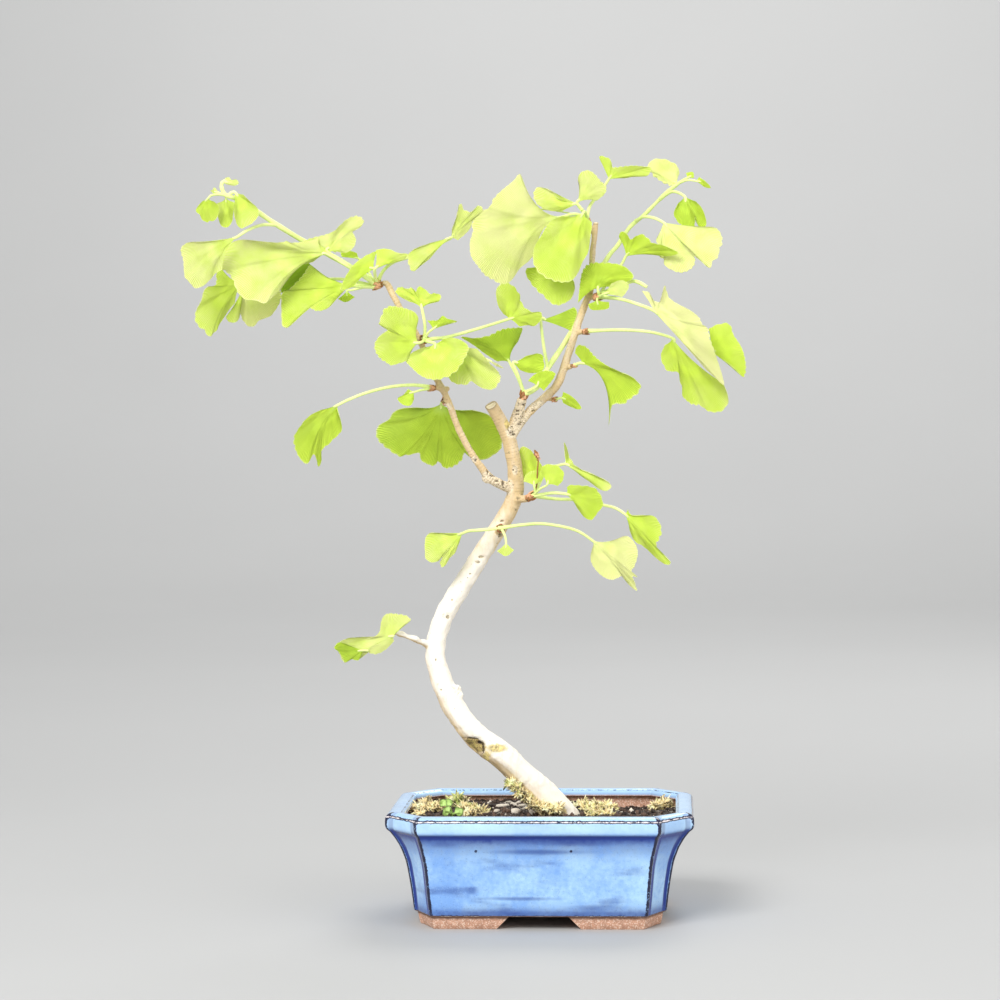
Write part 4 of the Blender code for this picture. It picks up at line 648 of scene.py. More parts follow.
             (659, 551), (664, 555), (670.5, 562.5), (665.5, 564), (656.5, 558.5), (648.5, 551), (641, 545),
             (634.5, 540.5), (629.5, 530)], lean=(-0.1, 0), axis=(0.6, 0.7), pinch=0.2, tone=0.6),
    ),
    "spray_trunk_low": Spray(
        bud=(500, 529, -2), tip=(501, 528, -6),
        left=Leaf(
            [(500, 528, -5), (482, 530, -8), (469, 531, -10), (462, 533.5, -11)],
            [(459.5, 541), (455, 553), (450, 557.5), (444, 566.5), (440, 563.5), (442.5, 556), (436, 562.5),
             (427, 560), (425.5, 548), (425, 539), (429, 533), (441, 534), (452, 535.5)],
            lean=(0.1, 0), axis=(-0.9, 0.3), pinch=0.05, tone=0.75),
        right=Leaf(
            [(501, 528, -5), (522, 525, -7), (545, 524, -9), (575, 530, -12), (593, 541, -14)],
            [(612.5, 543.3), (620.5, 538), (628, 536), (634.5, 543), (637, 553), (635, 566), (632, 572.5),
             (638, 577), (632.5, 577), (636.5, 590), (628, 584), (623, 577), (613, 579.5), (604, 576.5),
             (595, 569), (590.5, 560), (592, 549)], lean=(-0.1, 0), axis=(0.7, 0.6), pinch=0.25, tone=0.95),
        tiny=Leaf(
            [(501, 528, -5), (505, 536, -8), (506, 543, -9)], [(497, 551), (506, 556), (514, 550)],
            axis=(0, 1), pinch=0.1, tone=0.7),
    ),
    "spray_twig": Spray(
        bud=(394, 632, -17), tip=(389, 635, -19), knob=1.2,
        left=Leaf(
            [(391, 634, -18), (393, 636, -21)],
            [(405, 624), (411, 620), (406, 615), (394, 613.8), (386, 615), (381.5, 621.5), (378.5, 632),
             (369, 638.5), (354, 637.5), (343, 640), (334, 647.5), (338.5, 652), (343, 660), (346, 662.5),
             (351, 659), (358.5, 660), (363, 652.5), (375.5, 654), (386, 649), (394, 641)],
            lean=(0.15, 0), axis=(-1, 0.1), pinch=0.1, tone=0.85),
        left_under=Leaf(
            [(368, 650.5, -25.5), (362.5, 650.5, -26.5)],
            [(345, 643.5), (339, 642.5), (334, 647.5), (338.5, 652), (343, 660), (346, 662.5), (351, 659),
             (358.5, 660), (362, 654)], lean=(0.15, 0), axis=(-1, 0.1), pinch=0.05, tone=0.15),
    ),
}

SEEDLING_STEM = ((453, 832, -24, 1.4), (453, 822, -24, 1.4), (452, 814, -25, 1.3), (450, 808, -26, 1.2))
SEEDLING = Spray(
    None, None, knob=0,
    top=Leaf(
        [(451, 812, -25), (448, 808, -25.5), (446.5, 805.5, -26)],
        [(440.5, 807), (439.3, 803), (441, 800.2), (443.5, 799.2), (446, 800), (449, 798.8), (451.5, 800.3),
         (452.6, 803), (451.5, 806)], lean=(0, -0.5), axis=(0, -1), pinch=0.05, tone=0.4),
    left=Leaf(
        [(451, 814, -26), (449.5, 812.5, -28)],
        [(450.5, 807), (448, 806), (445.5, 807.3), (443, 808.5), (443.2, 811.5), (442.5, 814), (444.5, 816),
         (447.5, 815.6)], lean=(0, -0.2), axis=(-1, -0.2), pinch=0.05, tone=0.6),
    right=Leaf(
        [(453, 815, -26), (454.5, 813.5, -28)],
        [(455, 808.5), (457.3, 806.8), (460, 808), (462.7, 808.5), (463.6, 811.5), (462.5, 815),
         (459, 816.5)], lean=(0, -0.2), axis=(1, -0.1), pinch=0.05, tone=0.5),
)


def view_axes():
    """Directions of the view: right, up and forward."""
    turn = Euler((math.radians(90 - EYE_DOWN), 0.0, math.radians(EYE_LEFT)), "XYZ").to_matrix()
    right, up, back = turn.col[0].copy(), turn.col[1].copy(), turn.col[2].copy()
    roll = math.radians(EYE_ROLL)
    level_right = right * math.cos(roll) + up * math.sin(roll)
    level_up = up * math.cos(roll) - right * math.sin(roll)
    return level_right, level_up, -back


VIEW_RIGHT, VIEW_UP, VIEW_FORWARD = view_axes()
POT_MIDDLE = Vector((POT_CENTRE.x, POT_CENTRE.y, 0.0))


def place(spot):
    """Point of the frame, in metres, of a spot given as across, down and millimetres behind."""
    across, down, behind = spot[:3]
    ray = (
        VIEW_FORWARD
        + VIEW_RIGHT * ((across - PICTURE_MIDDLE) / SLOPE_UNITS)
        + VIEW_UP * ((PICTURE_MIDDLE - down) / SLOPE_UNITS)
    )
    return (EYE + ray * ((behind - EYE.y) / ray.y)) * MM + POT_MIDDLE


def place_all(across, down, behind):
    """place() for whole arrays, giving an array of points."""
    ray = (
        np.array(VIEW_FORWARD)
        + np.array(VIEW_RIGHT) * ((across - PICTURE_MIDDLE) / SLOPE_UNITS)[..., None]
        + np.array(VIEW_UP) * ((PICTURE_MIDDLE - down) / SLOPE_UNITS)[..., None]
    )
    reach = (behind - EYE.y) / ray[..., 1]
    return (np.array(EYE) + ray * reach[..., None]) * MM + np.array(POT_MIDDLE)


def seen(points):
    """Across and down of points of the frame."""
    offset = (points - np.array(POT_MIDDLE)) / MM - np.array(EYE)
    depth = offset @ np.array(VIEW_FORWARD)
    across = PICTURE_MIDDLE + SLOPE_UNITS * (offset @ np.array(VIEW_RIGHT)) / depth
    down = PICTURE_MIDDLE - SLOPE_UNITS * (offset @ np.array(VIEW_UP)) / depth
    return across, down


def smooth_path(points, steps):
    """Points on a smooth curve through the given ones, each of any number of values."""
    if steps < 2:
        return [tuple(point) for point in points]
    padded = [points[0], *points, points[-1]]
    path = []
    for first, start, end, last in zip(padded, padded[1:], padded[2:], padded[3:]):
        for step in range(steps):
            t = step / steps
            path.append(tuple(
                0.5 * (2 * b + (c - a) * t + (2 * a - 5 * b + 4 * c - d) * t * t
                       + (3 * b - a - 3 * c + d) * t ** 3)
                for a, b, c, d in zip(first, start, end, last)
            ))
    path.append(tuple(points[-1]))
    return path


def step_between(values, low, high):
    """0 below low, 1 above high and smooth between."""
    t = np.clip((values - low) / (high - low), 0.0, 1.0)
    return t * t * (3 - 2 * t)


def deselect():
    """Leave nothing selected."""
    for thing in bpy.context.selected_objects:
        thing.select_set(False)


def pick(things):
    """Select only these objects, the first of them active."""
    deselect()
    for thing in things:
        thing.select_set(True)
    bpy.context.view_layer.objects.active = things[0]


def add(operator, **settings):
    """Object that a primitive operator adds, with nothing else selected."""
    deselect()
    operator(**settings)
    return bpy.context.object


def settle(thing):
    """Put an object's place into its mesh."""
    thing.data.transform(thing.matrix_world)
    thing.matrix_world = Matrix.Identity(4)


def points_of(thing):
    """Array of a mesh object's points."""
    spots = np.empty(len(thing.data.vertices) * 3)
    thing.data.vertices.foreach_get("co", spots)
    return spots.reshape(-1, 3)


def normals_of(thing):
    """Array of a mesh object's normals at its points."""
    normals = np.empty(len(thing.data.vertices) * 3, np.float32)
    thing.data.vertex_normals.foreach_get("vector", normals)
    return normals.reshape(-1, 3)


def set_points(thing, spots):
    """Move a mesh object's points to the array's."""
    thing.data.vertices.foreach_set("co", np.asarray(spots, np.float32).ravel())
    thing.data.update()


def note(thing, name, values):
    """Store one number a point under that name, for the material to read."""
    layer = thing.data.attributes.get(name) or thing.data.attributes.new(name, "FLOAT", "POINT")
    numbers = np.broadcast_to(np.asarray(values, np.float32), len(thing.data.vertices))
    layer.data.foreach_set("value", np.ascontiguousarray(numbers))


def modify(thing, kind, **settings):
    """Add a modifier with these settings and apply it."""
    pick([thing])
    change = thing.modifiers.new(kind.lower(), kind)
    for key, value in settings.items():
        setattr(change, key, value)
    bpy.ops.object.modifier_apply(modifier=change.name)


def join(things, name):
    """One object made of them all."""
    pick(things)
    if len(things) > 1:
        bpy.ops.object.join()
    things[0].name = name
    things[0].data.name = name
    return things[0]


def remove(things):
    """Delete objects."""
    for thing in things:
        bpy.data.objects.remove(thing, do_unlink=True)


def cut(thing, tools, operation="DIFFERENCE"):
    """Boolean with each tool in turn, which is then removed."""
    for tool in tools:
        modify(thing, "BOOLEAN", operation=operation, solver="EXACT", object=tool)
    remove(tools)


def make_smooth(thing, degrees=180.0):
    """Smooth shading, with creases sharper than the angle."""
    pick([thing])
    bpy.ops.object.shade_smooth_by_angle(angle=math.radians(degrees))


def hand_over(thing, nodes=()):
    """Fasten a finished piece to the frame, in place of these nodes."""
    if not thing.data.polygons:
        raise RuntimeError(thing.name + " has no faces")
    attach(thing, "root")
    if nodes:
        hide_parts(*nodes)


def paint(things, coat):
    """Give objects one material."""
    for thing in things:
        thing.data.materials.clear()
        thing.data.materials.append(coat)


def rod(points, radii, sides=4):
    """Tapered round rod along points of the frame, radii in metres."""
    curve = bpy.data.curves.new("rod", "CURVE")
    curve.dimensions = "3D"
    curve.bevel_depth = 1.0
    curve.bevel_resolution = sides
    curve.use_fill_caps = True
    line = curve.splines.new("POLY")
    line.points.add(len(points) - 1)
    for point, spot, radius in zip(line.points, points, radii):
        point.co = (*spot, 1.0)
        point.radius = radius
    thing = bpy.data.objects.new("rod", curve)
    bpy.context.scene.collection.objects.link(thing)
    pick([thing])
    bpy.ops.object.convert(target="MESH")
    return bpy.context.object


def stack_rings(name, rings):
    """Closed skin raised ring by ring by extruding a circle, with a face at both ends."""
    thing = add(bpy.ops.mesh.primitive_circle_add, vertices=len(rings[0]), fill_type="NOTHING")
    bpy.ops.object.mode_set(mode="EDIT")
    bpy.ops.mesh.select_all(action="SELECT")
    form = bmesh.from_edit_mesh(thing.data)
    ring = form.verts[:]
    first = [corner.index for corner in ring]
    for corner, spot in zip(ring, rings[0]):
        corner.co = spot
    for spots in rings[1:]:
        bpy.ops.mesh.extrude_region_move()
        form = bmesh.from_edit_mesh(thing.data)
        form.verts.ensure_lookup_table()
        raised = []
        for corner in ring:
            ends = (edge.other_vert(corner) for edge in corner.link_edges)
            raised.append(next(end for end in ends if end.select))
        ring = raised
        for corner, spot in zip(ring, spots):
            corner.co = spot
    bpy.ops.mesh.edge_face_add()
    bpy.ops.mesh.select_all(action="DESELECT")
    form = bmesh.from_edit_mesh(thing.data)
    form.verts.ensure_lookup_table()
    for index in first:
        form.verts[index].select = True
    form.select_flush(True)
    bpy.ops.mesh.edge_face_add()
    bpy.ops.mesh.select_all(action="SELECT")
    bpy.ops.mesh.normals_make_consistent(inside=False)
    bpy.ops.object.mode_set(mode="OBJECT")
    thing.name = name
    return thing


def block(low, high, floor, top):
    """Block with sloping sides, from its half sizes at floor and top, in millimetres."""
    thing = add(bpy.ops.mesh.primitive_cube_add, size=2.0)
    spots = points_of(thing)
    lower = spots[:, 2] < 0
    for axis in (0, 1):
        spots[:, axis] *= np.where(lower, low[axis], high[axis])
    spots[:, 2] = np.where(lower, floor, top)
    set_points(thing, spots * MM + np.array(POT_MIDDLE))
    return thing


def around(corner):
    """Ring of the same corner at all four corners of a rectangle, anticlockwise."""
    ring = []
    for side, end, step in ((1, -1, 1), (1, 1, -1), (-1, 1, 1), (-1, -1, -1)):
        ring.extend(Vector((side * x, end * y)) for x, y in corner[::step])
    return ring


def rounded_end(corner, other):
    """Where the rounding of a corner ends on its way to the other one."""
    way = other - corner
    return corner + way.normalized() * min(EDGE_ROUND, 0.45 * way.length)


def pot_outline(half_width, half_depth, long_panel, short_panel, stand):
    """Rounded outline of the pot at one height, with its share of inner and outer corners."""
    corners = around((
        (long_panel, half_depth),
        (long_panel + 0.4 * stand, half_depth - stand),
        (half_width - stand, short_panel + 0.4 * stand),
        (half_width, short_panel),
    ))
    outline = []
    for i, here in enumerate(corners):
        following = corners[(i + 1) % len(corners)]
        start = rounded_end(here, corners[i - 1])
        end = rounded_end(here, following)
        inner = i % 4 in (1, 2)
        for step in range(ARC_STEPS + 1):
            t = step / ARC_STEPS
            spot = start * (1 - t) ** 2 + here * (2 * t * (1 - t)) + end * t ** 2
            outline.append((spot, inner, not inner))
        run = rounded_end(following, here) - end
        if i % 4 in (1, 3):
            panel_steps = (SHORT_PANEL_STEPS, LONG_PANEL_STEPS)[i // 4 % 2]
            margin = min(EDGE_STRIP, 0.2 * run.length) / run.length
            shares = np.linspace(margin, 1 - margin, CHAMFER_STEPS if i % 4 == 1 else panel_steps)
            outline.extend((end + run * share, False, False) for share in shares)
    return outline


def ring_at(height, outline):
    """Points of the frame round an outline of the pot at that height."""
    return [Vector((*spot, height)) * MM + POT_MIDDLE for spot, _, _ in outline]


class Value:
    """A socket of a material, with arithmetic."""

    def __init__(self, coat, socket):
        self.coat = coat
        self.socket = socket

    def _sum(self, operation, first, second=0.0):
        return self.coat.add("ShaderNodeMath", {"operation": operation}, _0=first, _1=second)

    def __add__(self, other):
        return self._sum("ADD", self, other)

    __radd__ = __add__

    def __sub__(self, other):
        return self._sum("SUBTRACT", self, other)

    def __rsub__(self, other):
        return self._sum("SUBTRACT", other, self)

    def __mul__(self, other):
        return self._sum("MULTIPLY", self, other)

    __rmul__ = __mul__

    def __truediv__(self, other):
        return self._sum("DIVIDE", self, other)

    def __pow__(self, other):
        return self._sum("POWER", self, other)

    def sine(self):
        """Sine of the value."""
        return self._sum("SINE", self)

    def top(self, other):
        """The larger of the two."""
        return self._sum("MAXIMUM", self, other)

    def between(self, low, high):
        """0 below low, 1 above high, and smooth between."""
        ends = {"From Min": low, "From Max": high}
        return self.coat.add("ShaderNodeMapRange", {"interpolation_type": "SMOOTHSTEP"}, Value=self, **ends)


class Coat:
    """A material while its nodes are being laid."""

    def __init__(self, name, **constants):
        self.material = bpy.data.materials.new(name)
        self.material.use_nodes = True
        self.tree = self.material.node_tree
        self.shader = self.tree.nodes["Principled BSDF"]
        for key, value in constants.items():
            self.shader.inputs[key.replace("_", " ")].default_value = value
        self.spot = self.add("ShaderNodeTexCoord", output="Object")

    def add(self, kind, settings=None, output=0, **values):
        """Output of a new node with these settings, and values or links on its sockets."""
        made = self.tree.nodes.new(kind)
        for key, value in (settings or {}).items():
            setattr(made, key, value)
        for key, value in values.items():
            socket = made.inputs[int(key[1:]) if key.startswith("_") else key]
            if isinstance(value, Value):
                self.tree.links.new(value.socket, socket)
            else:
                socket.default_value = value
        return Value(self, made.outputs[output])

    def vector(self, operation, first, second=(0.0, 0.0, 0.0), output=0):
        """Vector arithmetic on two vectors."""
        settings = {"operation": operation}
        return self.add("ShaderNodeVectorMath", settings, output, _0=first, _1=second)

    def chart(self, axis):
        """Place on a leaf: X from one side to the other, Y from its stalk to its edge."""
        spot = self.add("ShaderNodeUVMap", {"uv_map": "UVMap"})
        return self.add("ShaderNodeSeparateXYZ", output=axis, Vector=spot)

    def noise(self, scale, detail=3.0, vector=None, roughness=0.5):
        """Cloudy noise with that many lumps a metre, from 0 to 1."""
        values = {"Scale": scale, "Detail": detail, "Roughness": roughness, "Vector": vector or self.spot}
        return self.add("ShaderNodeTexNoise", **values)

    def stored(self, name):
        """Number stored on the mesh under that name."""
        return self.add("ShaderNodeAttribute", {"attribute_name": name}, output="Fac")

    def height(self):
        """Height above the table in millimetres."""
        parts = self.add("ShaderNodeSeparateXYZ", output="Z", Vector=self.spot)
        return parts * 1000.0

    def near(self, point):
        """Distance from a point of the frame in millimetres."""
        gap = self.vector("DISTANCE", self.spot, tuple(point), "Value")
        return gap * 1000.0

    def oval(self, point, half_width, half_height):
        """0 at a point of the front, 1 on an oval round it whose half sizes are in millimetres."""
        away = self.vector("SUBTRACT", self.spot, tuple(point))
        scale = tuple(1 / (size * MM) for size in (half_width, STROKE_REACH, half_height))
        return self.vector("LENGTH", self.vector("MULTIPLY", away, scale), output="Value")

    def blend(self, share, first, second):
        """Colour that goes from the first to the second."""
        colours = [c if isinstance(c, Value) else (*c, 1.0) for c in (first, second)]
        settings = {"data_type": "RGBA", "clamp_factor": True}
        return self.add("ShaderNodeMix", settings, output=2, _0=share, _6=colours[0], _7=colours[1])

    def finish(self, colour, roughness=None, relief=None, depth=0.0002, coat=None):
        """Link colour, roughness, coat and relief, whose full height is given in metres."""
        parts = {"Base Color": colour, "Roughness": roughness, "Coat Weight": coat}
        if relief is not None:
            parts["Normal"] = self.add("ShaderNodeBump", Strength=1.0, Distance=depth, Height=relief)
        for key, value in parts.items():
            if value is not None:
                self.tree.links.new(value.socket, self.shader.inputs[key])
        return self.material


class GinkgoSizes(bpy.types.PropertyGroup):
    """Sizes of the finished surfaces."""

    leaf_thickness: FloatProperty(
        name="Leaf thickness", description="Thickness of a leaf", default=0.00038, unit="LENGTH")
    edge_wave: FloatProperty(
        name="Edge wave", description="Depth of the fine waves round a leaf's edge",
        default=0.00095, unit="LENGTH")
    stalk_radius: FloatProperty(
        name="Stalk radius", description="Radius of a leaf's stalk", default=0.00085, unit="LENGTH")
    bark_grain: FloatProperty(
        name="Bark grain", description="Size of the steps the wood is modelled in",
        default=0.0005, unit="LENGTH")
    bark_relief: FloatProperty(
        name="Bark relief", description="Height of the bark's unevenness", default=0.00035, unit="LENGTH")
    moss_length: FloatProperty(
        name="Moss length", description="Length of a moss strand", default=0.0030, unit="LENGTH")
    crumbs: IntProperty(name="Crumbs", description="Crumbs of soil", default=900, min=0)
    light_power: FloatProperty(
        name="Light power", description="Power of the main light", default=27.0, unit="POWER")


def colour_property(name, description, default):
    """Colour that a user may change."""
    return FloatVectorProperty(name=name, description=description, default=default, subtype="COLOR", size=3)


class GinkgoColours(bpy.types.PropertyGroup):
    """Colours of the finished surfaces."""

    glaze: colour_property("Glaze", "Blue of the glaze", (0.20, 0.39, 0.78))
    glaze_light: colour_property("Light glaze", "Glaze where it clouds", (0.44, 0.68, 0.93))
    glaze_pale: colour_property("Pale glaze", "Glaze of the lip", (0.52, 0.73, 0.95))
    glaze_deep: colour_property("Deep glaze", "Glaze where it pools", (0.008, 0.032, 0.23))
    glaze_line: colour_property("Glaze line", "Iron line beside worn edges", (0.012, 0.014, 0.045))
    glaze_thin: colour_property("Thin glaze", "Body showing through on edges", (0.80, 0.72, 0.72))
    clay: colour_property("Clay", "Unglazed body", (0.76, 0.42, 0.285))
    bark: colour_property("Bark", "Pale bark of the trunk", (0.93, 0.86, 0.74))
    # Tan bark is also the colour of the painted shade on the wood's underside and left side.
    bark_tan: colour_property("Tan bark", "Patches and young wood", (0.68, 0.50, 0.27))
    bark_scar: colour_property("Scar", "Scars and rings", (0.12, 0.075, 0.035))
    leaf: colour_property("Leaf", "Leaf in full light", (0.74, 0.93, 0.085))
    # Painted highlight: the most lit leaves and the bright rim round each leaf's edge.
    leaf_highlight: colour_property("Pale leaf", "Youngest leaves and worn edges", (1.0, 1.0, 0.50))
    leaf_deep: colour_property("Deep leaf", "Leaves in shade", (0.45, 0.66, 0.04))
    stalk: colour_property("Stalk", "Leaf stalks and shoots", (0.66, 0.80, 0.25))
    scale_brown: colour_property("Bud scale", "Scales round a bud", (0.34, 0.14, 0.04))
    soil: colour_property("Soil", "Potting soil", (0.020, 0.012, 0.008))
    grit: colour_property("Grit", "Pale stones in the soil", (0.80, 0.72, 0.60))
    moss: colour_property("Moss", "Dry moss", (0.93, 0.76, 0.42))
    moss_green: colour_property("Green moss", "Living moss", (0.64, 0.72, 0.22))
    weed: colour_property("Weed", "Seedling's leaves", (0.17, 0.27, 0.035))


def tint(colour, strength, lift=0.0):
    """The colour made that many times as strong and lifted, up to 1."""
    return [min(1.0, strength * part + lift) for part in colour]


def glaze_coat(colours):
    """Blue glaze that pools in hollows and runs thin on edges, over red clay."""
    coat = Coat("Blue glaze", Coat_Roughness=0.05, IOR=1.45, Specular_IOR_Level=0.35)
    pool = coat.stored("pool")
    thin = coat.stored("thin")
    bare = coat.stored("bare")
    drift = coat.noise(34.0, 4.0)
    grain = coat.noise(420.0, 3.0)
    specks = coat.noise(1500.0, 2.0)
    brush = coat.noise(26.0, 3.0, coat.vector("MULTIPLY", coat.spot, (1.0, 1.0, 4.0)))
    height = coat.height()
    cloud = (drift * 0.7 + grain * 0.22 + specks * 0.1).between(0.40, 0.68)
    blue = coat.blend(cloud, colours.glaze, colours.glaze_light)
    blue = coat.blend(brush.between(0.55, 0.75) * 0.55, blue, colours.glaze_deep)
    blue = coat.blend(specks.between(0.60, 0.70) * 0.3, blue, colours.glaze_deep)
    blue = coat.blend(specks.between(0.40, 0.32) * 0.3, blue, colours.glaze_light)
    deep = (pool + (grain - 0.5) * 0.25 + (drift - 0.5) * 0.3).between(0.05, 0.8)
    blue = coat.blend(deep, blue, colours.glaze_deep)
    top = (height + (grain - 0.5) * 0.8).between(*PALE_LIP)
    blue = coat.blend(top * 0.55, blue, colours.glaze_pale)
    for across, down, behind, half_width, half_height, strength in STROKES:
        stroke = coat.oval(place((across, down, behind)), half_width, half_height) + (drift - 0.5) * 0.8
        blue = coat.blend(stroke.between(1.0, 0.1) * strength, blue, colours.glaze_deep)
    worn = thin + (grain - 0.5) * 0.45 + (specks - 0.5) * 0.35
    blue = coat.blend(worn.between(0.38, 0.50), blue, colours.glaze_line)
    blue = coat.blend(worn.between(0.66, 0.80), blue, colours.glaze_thin)
    for pit in PITS:
        gap = coat.near(place(pit)) + specks * 0.6
        blue = coat.blend(gap.between(1.25, 0.95) * gap.between(0.5, 0.8), blue, colours.glaze_line)
    clay_grain = (specks * 0.5 + grain * 0.5).between(0.35, 0.7)
    clay = coat.blend(clay_grain, tint(colours.clay, 0.6), colours.clay)
    clay = coat.blend((specks + grain * 0.2).between(0.64, 0.72) * 0.6, clay, colours.grit)
    scorched = (height + (grain - 0.5) * 2.4).between(*SCORCH_START) * height.between(*SCORCH_END)
    clay = coat.blend(scorched, clay, tint(colours.clay, 0.3))
    edge = bare.top((height + (grain - 0.5) * 1.2).between(*CLAY_END))
    colour = coat.blend(edge, blue, clay)
    rough = 0.14 + edge * 0.7 + grain * 0.08
    relief = grain * 0.3 + specks * 0.25 * edge + drift * 0.6
    return coat.finish(colour, rough, relief, 0.0004, (1 - edge) * 0.35)


def bark_coat(colours):
    """Cream bark with tan streaks, rough cracked patches, ringed young wood, an old wound and painted shade
    on the wood's underside.
    """
    coat = Coat("Pale bark", IOR=1.45)
    young = coat.stored("young")
    ring = coat.stored("ring")
    wide = coat.noise(75.0, 4.0)
    streak = coat.noise(420.0, 4.0, coat.vector("MULTIPLY", coat.spot, (1.0, 1.0, 0.25)), 0.6)
    grain = coat.noise(520.0, 4.0, roughness=0.6)
    fine = coat.noise(1700.0, 2.0)
    # Tan of real patches, streaks and young wood, plus painted shade on the wood's underside and left side.
    shade = wide * 0.5 + streak * 0.6 + young * 0.55 + coat.stored("under") * 0.5
    colour = coat.blend(shade.between(0.5, 1.15), colours.bark, colours.bark_tan)
    lenticel = (grain + fine * 0.3).between(0.80, 0.90) * 0.35
    colour = coat.blend(lenticel, colour, tint(colours.bark_tan, 0.5))
    rings = (ring + grain * 0.35 - 0.15).between(0.55, 0.95)
    colour = coat.blend(rings * 0.6, colour, tint(colours.bark_tan, 0.55))
    rough = (coat.stored("rough") + (wide - 0.5) * 0.5).between(0.25, 0.6)
    offset = coat.noise(330.0, 3.0) - 0.5
    torn = coat.noise(210.0, 2.0).between(0.46, 0.6)
    crack = rough * offset.top(offset * -1.0).between(0.04, 0.005) * torn * 0.5
    crack = crack.top(rough * (grain * 0.7 + fine * 0.3).between(0.42, 0.36) * 0.7)
    torn_edge = coat.stored("split") + (grain - 0.5) * 1.6 + (fine - 0.5) * 1.6
    crack = crack.top(torn_edge.between(0.42, 0.72))
    knots = coat.noise(120.0, 2.0).between(0.69, 0.76) * 0.45
    colour = coat.blend(knots, colour, tint(colours.bark_tan, 0.5))
    flake = [0.75 * a + 0.25 * b for a, b in zip(colours.bark, colours.moss)]
    colour = coat.blend(rough * 0.5, colour, flake)
    colour = coat.blend(crack * 0.8, colour, tint(colours.bark_scar, 0.95))
    scar = (coat.stored("scar") + (grain - 0.5) * 1.3 + (fine - 0.5) * 0.4).between(0.35, 0.75)
    mottled = coat.blend(fine.between(0.4, 0.6), colours.bark_scar, tint(colours.moss, 0.6))
    colour = coat.blend(scar * 0.8, colour, mottled)
    ringed = (coat.stored("pith") * 3.2).sine() * 0.5 + 0.5
    heart = [0.5 * (a + b) for a, b in zip(colours.bark, colours.moss)]
    face = coat.blend(ringed * 0.35, heart, colours.bark_tan)
    colour = coat.blend(coat.stored("sawn"), colour, face)
    rim = coat.stored("rim") * (grain + 0.3).between(0.55, 0.8)
    colour = coat.blend(rim * 0.8, colour, tint(colours.bark_tan, 0.4))
    straw = [a * b for a, b in zip(colours.moss, (0.9, 0.85, 0.5))]
    golden = coat.blend(grain.between(0.4, 0.6), tint(straw, 0.55), straw)
    stain = (coat.stored("stain") + (grain - 0.5) * 0.9).between(0.3, 0.65)
    colour = coat.blend(stain * 0.85, colour, golden)
    speckle = (fine * 0.5 + grain * 0.5).between(0.42, 0.56)
    olive = coat.blend(speckle, tint(colours.bark_scar, 1.6), tint(straw, 0.65))
    wound = coat.stored("wound") + (grain - 0.5) * 0.5
    colour = coat.blend(wound.between(0.25, 0.5), colour, olive)
    dark = coat.stored("wound") * torn_edge.between(0.3, 0.6) * 1.6
    colour = coat.blend(dark, colour, tint(colours.bark_scar, 0.2))
    relief = grain * 0.6 + streak * 0.4 + fine * 0.25 - rings * 0.4 - crack * 1.2 - scar * 0.4
    return coat.finish(colour, 0.6 + grain * 0.25, relief, 0.0004)


def leaf_coat(colours):
    """Fan leaf: fine ribs from stalk to edge, painted light and shade from its tone stored leaf by leaf, and
    a painted bright rim.
    """
    coat = Coat("Ginkgo leaf", IOR=1.42)
    along = coat.chart("Y")
    tone = coat.stored("tone")
    ribs = coat.chart("X") * coat.stored("span") + coat.noise(160.0, 2.0) * 1.2
    coarse = (ribs * 3.49).sine()
    fine = (ribs * 6.98).sine()
    outer = along.between(0.35, 0.65)
    vein = (coarse * (1 - outer) + fine * outer) * along.between(0.05, 0.3)
    blotch = coat.noise(110.0, 3.0)
    # Painted light and shade: a leaf's tone runs from painted shade to a painted highlight.
    shade = tone + (blotch - 0.5) * 0.45 + (along - 0.5) * 0.1 + vein * 0.15
    colour = coat.blend(shade.between(-0.05, 0.55), colours.leaf_deep, colours.leaf)
    colour = coat.blend(shade.between(0.5, 1.1), colour, colours.leaf_highlight)
    neck = along.between(0.22, 0.0)
    colour = coat.blend(neck * 0.6, colour, colours.stalk)
    # Painted highlight: a thin bright rim of light round the leaf's edge.
    margin = along.between(0.972, 0.998)
    colour = coat.blend(margin * 0.5, colour, colours.leaf_highlight)
    material = coat.finish(colour, 0.42 + blotch * 0.15, vein * (along + 0.25) * 0.5 + blotch * 0.4, 0.00022)
    glow = coat.add("ShaderNodeBsdfTranslucent", Color=colour)
    both = coat.add("ShaderNodeMixShader", _0=0.32, _1=Value(coat, coat.shader.outputs[0]), _2=glow)
    out = coat.tree.nodes["Material Output"]
    coat.tree.links.new(both.socket, out.inputs["Surface"])
    return material


def stalk_coat(colours):
    """Pale green stalks and shoots."""
    coat = Coat("Green stalk", IOR=1.42)
    shade = coat.noise(90.0, 3.0)
    stripe = coat.noise(900.0, 2.0)
    light = tint(colours.stalk, 1.25, 0.08)
    colour = coat.blend((shade * 0.8 + stripe * 0.3).between(0.35, 0.8), colours.stalk, light)
    return coat.finish(colour, 0.4 + stripe * 0.15, stripe, 0.00008)


def scale_coat(colours):
    """Papery brown bud scales, paler at their edges."""
    coat = Coat("Bud scale", IOR=1.45)
    tone = coat.stored("tone")
    grain = coat.noise(1100.0, 3.0)
    light = tint(colours.scale_brown, 1.9, 0.16)
    colour = coat.blend((tone + (grain - 0.5) * 0.9).between(0.1, 0.95), colours.scale_brown, light)
    colour = coat.blend(grain.between(0.40, 0.30) * 0.8, colour, tint(colours.scale_brown, 0.3))
    return coat.finish(colour, 0.55 + grain * 0.2, grain, 0.00015)


def soil_coat(colours):
    """Dark damp soil."""
    coat = Coat("Potting soil")
    lumps = coat.noise(320.0, 5.0, roughness=0.65)
    fibre = coat.noise(1400.0, 3.0)
    light = tint(colours.soil, 3.2)
    colour = coat.blend((lumps + fibre * 0.3).between(0.5, 0.85), colours.soil, light)
    colour = coat.blend((fibre + lumps * 0.2).between(0.72, 0.8) * 0.8, colour, colours.grit)
    return coat.finish(colour, 0.85 + fibre * 0.1, lumps + fibre * 0.3, 0.0007)


